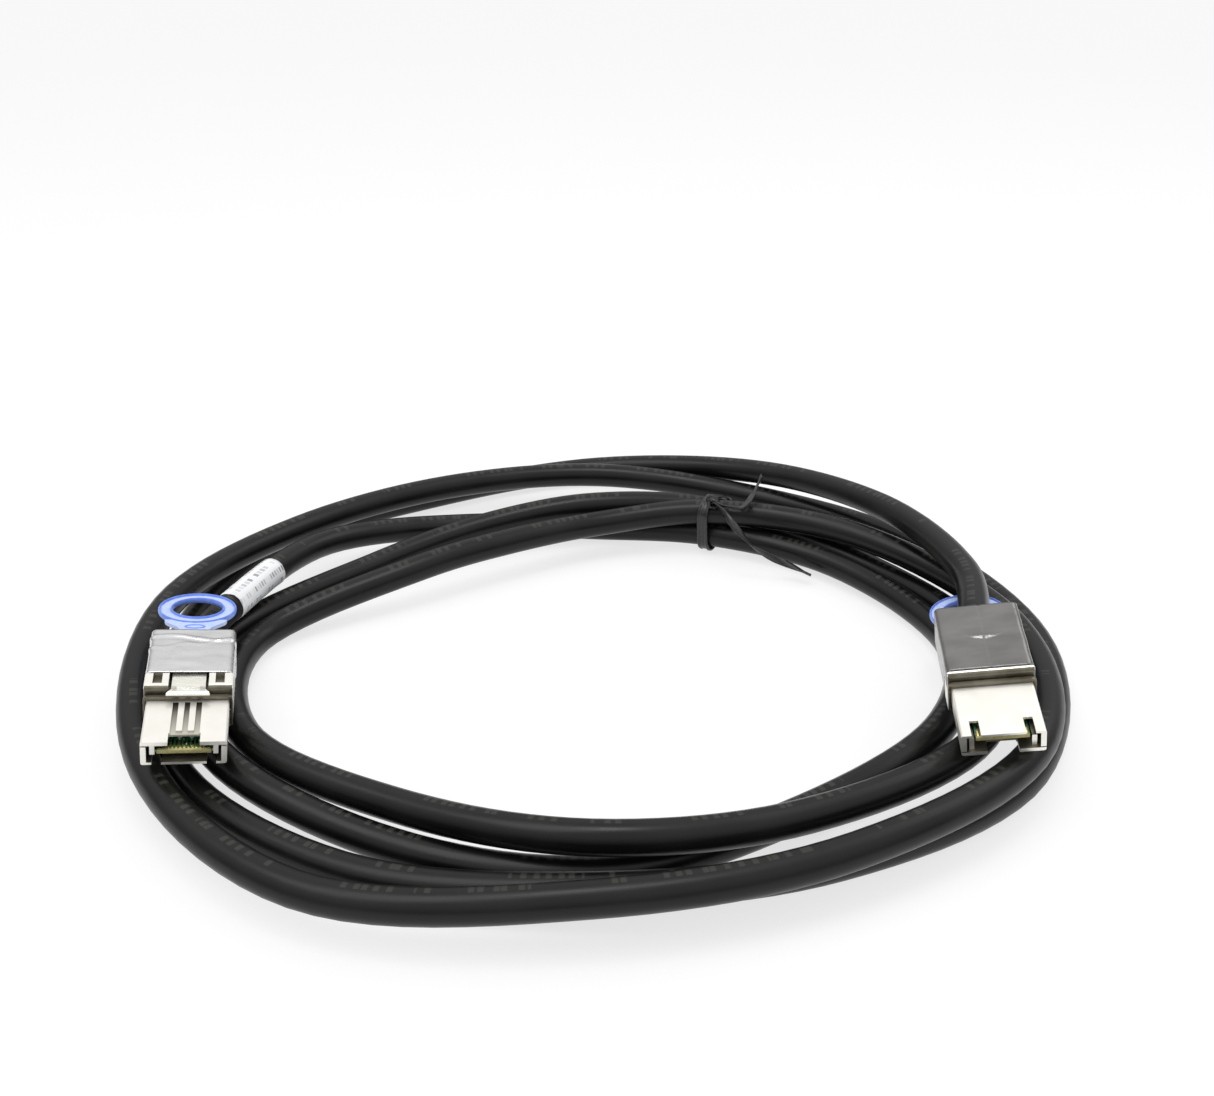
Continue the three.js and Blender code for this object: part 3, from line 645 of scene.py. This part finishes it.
def foil_creases(x, y, z):
    """A long fold across the foil near the cable, with a valley beside it, and shorter ones round it."""
    lift = 0.09 * noise.noise(Vector((x * 0.22, y * 0.5, z * 0.22)))
    across = y + 18.6 + 0.5 * math.sin(x * 0.45) + 0.12 * x
    lift += ridge(across, 0.45, 0.24) - ridge(across - 0.9, 0.6, 0.1)
    lift += ridge(y + 16.2 - 0.16 * x + 0.4 * math.sin(0.8 * x), 0.4, 0.15) * (x > -6)
    lift += ridge(y + 17.4 + 0.3 * abs(x + 5), 0.35, 0.14) * (x < -1)
    lift += ridge(x - 3.2 - 0.35 * (y + 14), 0.4, 0.08) * (y > -15)
    return lift + 0.02


def tape_creases(x, y, z):
    """On the side that shows: a groove down the middle, a bowed fold, and soft folds at the edges."""
    lift = 0.08 * noise.noise(Vector((x * 0.2, y * 0.25, z * 0.2)))
    if z < 0:
        lift -= ridge(x - 0.66, 0.3, 0.16)
        bow = y + 11.6 + 0.05 * (x - 0.3) ** 2
        lift += (ridge(bow, 0.5, 0.3) - ridge(bow - 1, 0.6, 0.12)) * math.exp(-((x - 0.6) / 4.2) ** 2)
        lift += ridge(y + 11.4 - 0.25 * x, 0.4, 0.12) * math.exp(-((x + 6) / 3) ** 2)
        lift += ridge(y + 16.5 + 0.3 * x, 0.5, 0.14) * math.exp(-((x - 6) / 3) ** 2)
        lift += ridge(y + 5.5 - 0.1 * x, 0.6, 0.07) * math.exp(-((x - 3) / 4) ** 2)
    return lift + 0.02


WRAP_KINDS = {"a": (foil_creases, FOIL, "foil"), "b": (tape_creases, TAPE, "grey_tape")}


def plug_wrap(tag):
    creases, material, slot_name = WRAP_KINDS[tag]
    wrap = local_piece(
        f"{tag}_wrap", tag, wrap_build(creases), material, BASE, replaces=(f"{tag}_foil_wrap",),
    )
    wrap.modifiers.new("film", "SOLIDIFY").thickness = WRAP["film"] * MM


# Paddle card

BOARD = {"half": 10.9 / 2, "rear": -7.5, "front": 14.2, "top": 0.0, "bottom": -1.0}
BARE_EDGE = {"inset": 0.03, "rear": 13.7, "front": 14.24, "proud": 0.02}
FINGERS = {"count": 13, "pitch": 0.8, "half": 0.25, "front": 13.8, "short": 2.6, "long": 2.9, "proud": 0.06}
REAR_PAD = {"half": 0.22, "rear": -6.9, "front": -5.4, "proud": 0.05}
CHIP = {"half": (0.4, 0.3), "height": 0.12}
MARK = {"half": 0.12, "reach": (0.35, 0.8), "height": 0.1}
CHIP_PLACES = ((-1.3, 10.1), (1.1, 10.2), (-3.6, 6.4), (-1.4, 6.9), (1.2, 6.5), (3.4, 6.8))


def card_fingers(bm):
    """Contact fingers at the front and wire pads at the rear, standing proud of both faces."""
    top, bottom = BOARD["top"], BOARD["bottom"]
    front, half, proud = FINGERS["front"], FINGERS["half"], FINGERS["proud"]
    pad, pad_proud = REAR_PAD["half"], REAR_PAD["proud"]
    for i in range(FINGERS["count"]):
        x = (i - (FINGERS["count"] - 1) / 2) * FINGERS["pitch"]
        length = FINGERS["long"] if i % 3 == 0 else FINGERS["short"]
        box_mesh(bm, (x - half, front - length, bottom - proud), (x + half, front, top + proud))
        low = (x - pad, REAR_PAD["rear"], bottom - pad_proud)
        high = (x + pad, REAR_PAD["front"], top + pad_proud)
        box_mesh(bm, low, high)


def card_parts(bm):
    """Small pale parts on the card's upper face, each with a mark in front of it."""
    top = BOARD["top"]
    (half_x, half_y), height = CHIP["half"], CHIP["height"]
    mark_half, mark_height, (mark_from, mark_to) = MARK["half"], MARK["height"], MARK["reach"]
    for x, y in CHIP_PLACES:
        box_mesh(bm, (x - half_x, y - half_y, top), (x + half_x, y + half_y, top + height))
        box_mesh(bm, (x - mark_half, y + mark_from, top), (x + mark_half, y + mark_to, top + mark_height))


def paddle_card(tag):
    """The paddle card: green board, pale edge, gold fingers and rear pads, small parts."""
    half, top, bottom = BOARD["half"], BOARD["top"], BOARD["bottom"]
    side, proud = half - BARE_EDGE["inset"], BARE_EDGE["proud"]
    board = blocks(((-half, BOARD["rear"], bottom), (half, BOARD["front"], top)))
    edge = blocks(((-side, BARE_EDGE["rear"], bottom - proud), (side, BARE_EDGE["front"], top + proud)))
    local_piece(f"{tag}_card_board", tag, board, CARD, BASE, 0.08, (f"{tag}_paddle_card",))
    local_piece(f"{tag}_card_edge", tag, edge, CARD_EDGE, BASE, 0.15)
    local_piece(f"{tag}_card_fingers", tag, card_fingers, GOLD, BASE, 0.03)
    local_piece(f"{tag}_card_parts", tag, card_parts, CARD_PRINT, BASE, 0.05)


# Pull tab


TAB_HINGE = (0, -22.2, 4.4)
NECK_LENGTH, RING_RADIUS = 4.2, 8.9
RING_MIDDLE = -NECK_LENGTH - RING_RADIUS
RING_SIDES, RING_ACROSS = 96, 10
WEB_TOP = 0.85
STRAP = ((-3.3, -22.6, 4.4), (3.3, -12.45, 5.1))
RELIEF = {"middle": -2.0, "radii": (2.1, 0.95), "width": 0.44, "rise": 0.18, "sides": 40, "across": 8}
# Each bead of the ring: its name, radius, width, lowest and highest level, and material
RING_BEADS = (
    ("outer_rim", 8.62, 0.56, -0.2, 1.15, BLUE),
    ("inner_rim", 5.9, 0.56, -0.2, 1.15, BLUE),
    ("web", 7.25, 2.7, 0.0, WEB_TOP, BLUE_LIT_THROUGH),
)
# The neck's half width at some places from the hinge to the ring
NECK_ROWS = [(0.2, 3.3), (-0.8, 3.35), (-1.8, 3.8), (-2.8, 4.7), (-3.8, 5.7), (-4.9, 6.6), (-6.1, 6.9)]
NECK_MEETS_RING = -3.5
NECK_RADIUS = 7.2


def bead(place, middle, radii, width, low, high, sides, across):
    """A closed bead with an oval section, round an oval that lies in the tab's plane."""
    def build(bm):
        rings = []
        for i in range(sides):
            a = 2 * math.pi * i / sides
            ring = []
            for j in range(across):
                b = 2 * math.pi * j / across
                out = width / 2 * math.cos(b)
                x = (radii[0] + out) * math.cos(a)
                y = middle + (radii[1] + out) * math.sin(a)
                z = (low + high) / 2 + (high - low) / 2 * math.sin(b)
                ring.append(bm.verts.new(place @ Vector((x, y, z))))
            rings.append(ring)
        for i in range(sides):
            join_rings(bm, rings[i], rings[(i + 1) % sides])
    return build


def neck_point(x, y, z):
    """A point of the neck, whose last rows follow the ring's curve."""
    if y < NECK_MEETS_RING:
        y = max(y, RING_MIDDLE + math.sqrt(max(NECK_RADIUS ** 2 - x ** 2, 0.5)))
    return Vector((x, y, z))


def neck(place):
    """The flat neck that widens from the hinge to the ring."""
    def build(bm):
        def level(z):
            return [
                [bm.verts.new(place @ neck_point(half * s, y, z)) for s in (-1, -0.5, 0, 0.5, 1)]
                for y, half in NECK_ROWS
            ]

        slab(bm, level(WEB_TOP), level(0.0))
    return build


def pull_tab(tag):
    """Finger ring and neck, drawn finer than the CAD tab: double rims over a thin web, whose paler blue is
    painted light showing through it.
    """
    body = f"{tag}_tab_body"
    bend = math.radians(PLUGS[tag]["bend"])
    place = Matrix.Translation(TAB_HINGE) @ Matrix.Rotation(bend, 4, "X")
    for name, radius, width, low, high, material in RING_BEADS:
        shape = bead(place, RING_MIDDLE, (radius, radius), width, low, high, RING_SIDES, RING_ACROSS)
        local_piece(f"{tag}_ring_{name}", tag, shape, material, body)
    local_piece(f"{tag}_ring_neck", tag, neck(place), BLUE_LIT_THROUGH, body)
    local_piece(f"{tag}_strap", tag, blocks(STRAP), BLUE_LIT_THROUGH, body, 0.12, (f"{tag}_pull_tab",))
    relief = bead(
        place, RELIEF["middle"], RELIEF["radii"], RELIEF["width"],
        WEB_TOP - RELIEF["rise"], WEB_TOP + RELIEF["rise"], RELIEF["sides"], RELIEF["across"],
    )
    local_piece(f"{tag}_neck_relief", tag, relief, BLUE, body)


# Latch arm

LATCH = {"width": 7, "rear": -9, "front": 0.4, "under": 4.5, "top": 5.0, "knuckle": 0.5}
LATCH_BEAD = {"inset": 0.2, "rear": -0.55, "front": -0.3, "sunk": 0.05, "proud": 0.08}
# A hook's outline, as places along the arm and heights above its top
HOOK = {"place": 2.9, "half": 0.5, "outline": [(-1.0, -0.1), (0.25, -0.1), (0.25, 0.6), (-0.1, 0.62)]}
# The lip's line, as places along the arm and heights, and the last of its points that is bright steel, after
# which its lower edge is painted shade
LIP = {
    "width": 8.9, "thickness": 0.34, "ears": 3.55, "widens_over": 3, "end_inset": 0.25, "across": 24,
    "line": [(0.1, 4.98), (0.55, 5.0), (1.0, 4.93), (1.4, 4.74), (1.7, 4.45), (1.82, 4.16), (1.78, 3.98)],
    "bright_to": 4,
}
# The lip's root, drawn in painted shade under the lip.
LIP_ROOT = ((-4.0, 0.5, 4.34), (4.0, 1.4, 4.5))
LIP_PADS = [((x - 0.5, 1.35, 3.92), (x + 0.5, 1.62, 4.12)) for x in (-2.5, 0, 2.5)]


def latch_plate(bm):
    """The arm's plate, a small bead across it, and the round knuckle it turns on."""
    half, rear, under, top = LATCH["width"] / 2, LATCH["rear"], LATCH["under"], LATCH["top"]
    bead_half = half - LATCH_BEAD["inset"]
    box_mesh(bm, (-half, rear, under), (half, LATCH["front"], top))
    box_mesh(
        bm, (-bead_half, LATCH_BEAD["rear"], top - LATCH_BEAD["sunk"]),
        (bead_half, LATCH_BEAD["front"], top + LATCH_BEAD["proud"]),
    )
    sides = 20
    angles = [2 * math.pi * j / sides for j in range(sides)]
    ends = [
        [
            bm.verts.new((x, rear + LATCH["knuckle"] * math.cos(a), under + LATCH["knuckle"] * math.sin(a)))
            for a in angles
        ]
        for x in (-half, half)
    ]
    join_rings(bm, *ends)
    for end in ends:
        bm.faces.new(end)


def latch_hooks(bm):
    for side in (-1, 1):
        ends = [
            [bm.verts.new((side * HOOK["place"] + x, y, LATCH["top"] + z)) for y, z in HOOK["outline"]]
            for x in (-HOOK["half"], HOOK["half"])
        ]
        for end in ends:
            bm.faces.new(end)
        join_rings(bm, *ends)


def lip(first, last):
    """A stretch of the lip: a strip that widens as it curls down towards the nose."""
    def build(bm):
        line, across = LIP["line"], LIP["across"]
        end = len(line) - 1
        outer, inner = [], []
        for k in range(first, last + 1):
            y, z = line[k]
            half = LIP["ears"] + (LIP["width"] / 2 - LIP["ears"]) * min(1, k / LIP["widens_over"])
            if k == end:
                half -= LIP["end_inset"]
            ahead, behind = line[min(k + 1, end)], line[max(k - 1, 0)]
            tangent = Vector((0, ahead[0] - behind[0], ahead[1] - behind[1])).normalized()
            inward = Vector((0, tangent.z, -tangent.y)) * LIP["thickness"]
            places = [Vector((half * (2 * i / across - 1), y, z)) for i in range(across + 1)]
            outer.append([bm.verts.new(p) for p in places])
            inner.append([bm.verts.new(p + inward) for p in places])
        slab(bm, outer, inner)
    return build


def latch_arm(tag):
    """The latch arm: a plate on its knuckle, two hooks, and a T-shaped lip that curls down, its lower edge
    and root in painted shade.
    """
    bright_lip, shaded_lip = lip(0, LIP["bright_to"]), lip(LIP["bright_to"], len(LIP["line"]) - 1)
    for name, shape, material, radius, replaces in (
        ("latch_plate", latch_plate, BRIGHT, 0.06, (f"{tag}_latch_arm",)),
        ("latch_hooks", latch_hooks, BRIGHT, 0.05, ()),
        ("latch_lip", bright_lip, BRIGHT, 0, ()),
        # The lip's lower edge and its root are painted shade.
        ("lip_edge_shade", shaded_lip, SHADE, 0, ()),
        ("lip_root", blocks(LIP_ROOT), SHADE, 0.1, ()),
        ("lip_pads", blocks(*LIP_PADS), BRIGHT, 0.03, ()),
    ):
        local_piece(
            f"{tag}_{name}", tag, shape, material, f"{tag}_latch_body", radius, replaces,
        )


# Shells, collar, slide and what lies inside

# A shell's material slots: plain nickel, painted shade, and the key channel's painted shadow.
PLAIN, PAINTED_SHADE, CHANNEL = 0, 1, 2


def shell_face(place, normal):
    """Which of a shell's surfaces a face has, from its middle and its normal."""
    x, y, z = abs(place.x), place.y, place.z
    # Window pockets, the shoulder's front faces, the inside of the nose and the faces under the tab get
    # painted shade; the key channel gets the painted shadow of the lip.
    in_window = 5.3 < x < 7.5 and -5.4 < y < -1.3 and 4.2 < z < 5.5
    on_shoulder = -1.3 < y < 0.4 and normal.y > 0.35
    in_channel = x < 3 and 1.8 < y < 12.45 and 2.2 < z < 2.8
    inside_nose = x < 7.5 and abs(z) < 2.3 and y > 0.3 and abs(normal.y) < 0.7
    under_tab = x < 4.2 and 3 < z < 5.3 and normal.z > 0.5
    if in_window or on_shoulder:
        return PAINTED_SHADE
    if in_channel:
        return CHANNEL
    return PAINTED_SHADE if inside_nose or under_tab else PLAIN


def plug_metal(tag):
    """The CAD shapes of the shells, the collar and the slide, with rounded edges."""
    shell_surfaces = [NICKEL, SHADE, GROOVE[tag]]
    for node, surfaces, radius, pick, body, slot_name in (
        ("upper_shell", shell_surfaces, 0.12, shell_face, BASE, "die_cast"),
        ("lower_shell", shell_surfaces, 0.12, shell_face, BASE, "die_cast"),
        # The collar takes the nickel darkened as painted shade.
        ("collar", [SHADE], 0.12, None, BASE, "spring_metal"),
        ("latch_slide", [BRIGHT], 0.08, None, f"{tag}_tab_body", "spring_metal"),
    ):
        look = refined(f"{tag}_{node}", surfaces, radius, pick)
        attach(look, body)
        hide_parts(f"{tag}_{node}")


def plug_inside(tag):
    """CAD pieces that keep their shape and only take a material."""
    surfaces = {"ferrule": COPPER, "cable_grip": GRIP, "rivet_left": BRIGHT, "rivet_right": BRIGHT}
    for i in range(1, 5):
        surfaces[f"pair_upper_{i}"] = PAIR
        surfaces[f"pair_lower_{i}"] = PAIR
    for node, surface in surfaces.items():
        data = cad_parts[f"{tag}_{node}"].data
        data.materials.clear()
        data.materials.append(surface)


for tag in PLUGS:
    plug_metal(tag)
    plug_wrap(tag)
    paddle_card(tag)
    pull_tab(tag)
    latch_arm(tag)
    plug_inside(tag)


# Twist tie: a ribbed band round three strands, a twisted knot and two tails

TIE_ANGLE = 60
TIE_TURNS = (2, 3, 4)
BAND = {"half": 1.7, "strand_radius": 4.25, "strand_sides": 36, "spacing": 0.5}
# The band's section, as places across it and heights above the strands
BAND_PROFILE = [
    (-1.7, 0.0), (-1.6, 0.42), (-1.1, 0.5), (-0.85, 0.22), (-0.6, 0.18), (-0.2, 0.2), (0, 0.26),
    (0.2, 0.2), (0.6, 0.18), (0.85, 0.22), (1.1, 0.5), (1.6, 0.42), (1.7, 0.0),
]


def strand_places():
    """Where the tied strands pass, at the band's middle and both edges: radius and height."""
    edge = math.degrees(BAND["half"] / TURNS[2][2][0])
    places = []
    for turn in TIE_TURNS:
        for offset in (-edge, 0, edge):
            index = LEAD_POINTS + (turn * 360 + TIE_ANGLE + offset) / KNOT_ANGLE
            point = route_point(KNOTS, index) / MM
            places.append((math.hypot(point.x - COIL_CENTRE[0], point.y - COIL_CENTRE[1]), point.z))
    return places


def turns_left(a, b, c):
    return (b[0] - a[0]) * (c[1] - a[1]) - (b[1] - a[1]) * (c[0] - a[0]) > 1e-6


def half_hull(line):
    out = []
    for p in line:
        while len(out) > 1 and not turns_left(out[-2], out[-1], p):
            out.pop()
        out.append(p)
    return out[:-1]


def hull(points):
    """The convex outline of some points in a plane."""
    points = sorted(set(points))
    return half_hull(points) + half_hull(points[::-1])


def band_loop():
    """The line that a tight band takes round the tied strands."""
    radius, sides = BAND["strand_radius"], BAND["strand_sides"]
    angles = [2 * math.pi * i / sides for i in range(sides)]
    loop = hull([
        (round(x + radius * math.cos(a), 4), round(z + radius * math.sin(a), 4))
        for x, z in strand_places() for a in angles
    ])
    out = []
    for a, b in zip(loop, loop[1:] + loop[:1]):
        count = max(1, round(math.hypot(b[0] - a[0], b[1] - a[1]) / BAND["spacing"]))
        out += [(a[0] + (b[0] - a[0]) * i / count, a[1] + (b[1] - a[1]) * i / count) for i in range(count)]
    return out


def tie_band():
    turn = Matrix.Rotation(math.radians(TIE_ANGLE), 4, "Z")
    around = Matrix.Scale(MM, 4) @ Matrix.Translation((*COIL_CENTRE, 0)) @ turn
    loop = band_loop()
    verts, faces = [], []
    count = len(loop)
    for i, (x, z) in enumerate(loop):
        px, pz = loop[i - 1]
        nx, nz = loop[(i + 1) % count]
        out = Vector((nz - pz, -(nx - px)))
        out.normalize()
        for y, lift in BAND_PROFILE:
            verts.append(around @ Vector((x + out.x * lift, -y, z + out.y * lift)))
    row = len(BAND_PROFILE)
    for i in range(count):
        j = (i + 1) % count
        for k in range(row):
            m = (k + 1) % row
            faces.append((i * row + k, j * row + k, j * row + m, i * row + m))
    band = mesh_object("tie_band", verts, faces, TIE)
    flip_if_inside_out(band)
    return band


RIBBON_STEPS = 60


def ribbon_section(half, thin):
    """The outline of a flat strip with a round bead down its middle."""
    bead_half, bead_height = half * 0.35, thin * 1.9
    return [
        (-half, -thin), (-bead_half, -thin), (0, -bead_height), (bead_half, -thin), (half, -thin),
        (half, thin), (bead_half, thin), (0, bead_height), (-bead_half, thin), (-half, thin),
    ]


def ribbon(name, points, width, thickness, twists):
    """A flat strip with a wire bead down its middle, turning about its own line."""
    knots = [Vector(p) * MM for p in points]
    path = [route_point(knots, i * (len(knots) - 1) / RIBBON_STEPS) for i in range(RIBBON_STEPS + 1)]
    section = ribbon_section(width / 2 * MM, thickness / 2 * MM)
    verts, faces = [], []
    for i, (point, (side, up)) in enumerate(zip(path, frames_along(path))):
        turn = 2 * math.pi * twists * i / RIBBON_STEPS
        a = side * math.cos(turn) + up * math.sin(turn)
        b = up * math.cos(turn) - side * math.sin(turn)
        verts += [point + a * x + b * z for x, z in section]
    n = len(section)
    for i in range(RIBBON_STEPS):
        for j in range(n):
            k = (j + 1) % n
            faces.append((i * n + j, i * n + k, (i + 1) * n + k, (i + 1) * n + j))
    faces.append(tuple(reversed(range(n))))
    faces.append(tuple(range(RIBBON_STEPS * n, (RIBBON_STEPS + 1) * n)))
    strip = mesh_object(name, verts, faces, TIE)
    flip_if_inside_out(strip)
    return strip


TIE_KNOT = {"at": Vector((31.4, 52.6, 17.4)), "start": -1.2, "pitch": 0.45, "wide": 1.25, "high": 1.15}
KNOT_COILS, KNOT_COIL_PHASE, KNOT_COIL_POINTS = 3, 2.1, 8
LONG_TAIL = [
    (31.4, 52.6, 17.6), (33.2, 46, 18.2), (35.2, 41.2, 17), (38.2, 38.6, 14.2),
    (42.2, 38.6, 9.8), (47.7, 37.5, 6.8), (52.5, 37, 4.8), (58.2, 34.4, 3),
]
SHORT_TAIL = [
    (31.4, 52.6, 17.6), (35, 46, 18.6), (38.7, 45.8, 18.2),
    (41.4, 50.3, 18.5), (43.9, 56.6, 19), (46.6, 64.3, 20),
]


def knot_coil(k):
    """The line of one of the knot's coils, which starts a little before its full turn."""
    points = []
    for i in range(-2, KNOT_COIL_POINTS):
        a = i * 2 * math.pi / KNOT_COIL_POINTS
        phase = a + KNOT_COIL_PHASE * k
        points.append(TIE_KNOT["at"] + Vector((
            TIE_KNOT["wide"] * math.cos(phase),
            TIE_KNOT["start"] + TIE_KNOT["pitch"] * a,
            TIE_KNOT["high"] * math.sin(phase),
        )))
    return points


tie = tie_band()
tie_pieces = [
    ribbon("tie_long_tail", LONG_TAIL, 2, 0.4, 1.2),
    ribbon("tie_short_tail", SHORT_TAIL, 1.6, 0.4, 0.8),
]
for k in range(KNOT_COILS):
    tie_pieces.append(ribbon(f"tie_knot_{k + 1}", knot_coil(k), 1.3, 0.55, 0.4))
for piece in [tie, *tie_pieces]:
    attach(piece, BASE)
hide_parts("twist_tie")


# Floor, light and view

FLOOR_REACH = 4
GLOW_SHARE = 0.72


def floor_material():
    """Pale floor that the camera and reflections see as nearly white, with the object's shadow on it."""
    material, tree, shader = new_material("floor", (0.93, 0.93, 0.93), 0.9)
    rays = add(tree, "ShaderNodeLightPath")
    glow = add(tree, "ShaderNodeEmission", Color=(1, 1, 1, 1), Strength=1.0)
    mix = add(tree, "ShaderNodeMixShader")
    either = add(tree, "ShaderNodeMath", operation="MAXIMUM")
    share = add(tree, "ShaderNodeMath", operation="MULTIPLY")
    share.inputs[1].default_value = GLOW_SHARE
    tree.links.new(rays.outputs["Is Camera Ray"], either.inputs[0])
    tree.links.new(rays.outputs["Is Glossy Ray"], either.inputs[1])
    tree.links.new(either.outputs["Value"], share.inputs[0])
    tree.links.new(share.outputs["Value"], mix.inputs["Fac"])
    tree.links.new(shader.outputs["BSDF"], mix.inputs[1])
    tree.links.new(glow.outputs["Emission"], mix.inputs[2])
    tree.links.new(mix.outputs["Shader"], tree.nodes["Material Output"].inputs["Surface"])
    return material


floor_corners = [(x * FLOOR_REACH, y * FLOOR_REACH, 0) for x, y in ((-1, -1), (1, -1), (1, 1), (-1, 1))]
floor = mesh_object("floor", floor_corners, [(0, 1, 2, 3)], floor_material(), False)


def studio_world():
    """A world that is grey at the horizon and white above."""
    world = bpy.data.worlds.new("studio")
    world.use_nodes = True
    tree = world.node_tree
    background = tree.nodes["Background"]
    coords = add(tree, "ShaderNodeTexCoord")
    split = add(tree, "ShaderNodeSeparateXYZ")
    tree.links.new(coords.outputs["Generated"], split.inputs["Vector"])
    color = ramp(tree, split.outputs["Z"], 0.1, 0.62, (0.3, 0.3, 0.3), (1, 1, 1))
    tree.links.new(color, background.inputs["Color"])
    background.inputs["Strength"].default_value = 0.95
    return world


def soft_light(name, place, size, power):
    """A lamp that looks at the object's origin, in metres and watts."""
    data = bpy.data.lights.new(name, "AREA")
    data.shape = "RECTANGLE"
    data.size, data.size_y = size
    data.energy = power
    light = linked(name, data)
    light.location = place
    light.rotation_euler = (-Vector(place)).to_track_quat("-Z", "Y").to_euler()


bpy.context.scene.world = studio_world()
soft_light("key", (-0.35, -0.1, 0.8), (0.5, 0.5), 1.8)
soft_light("fill", (0.6, 0.3, 0.7), (0.6, 0.4), 1.0)
soft_light("overhead", (0.02, -0.03, 0.75), (0.22, 0.22), 0.9)

bpy.context.scene.view_settings.view_transform = "Standard"
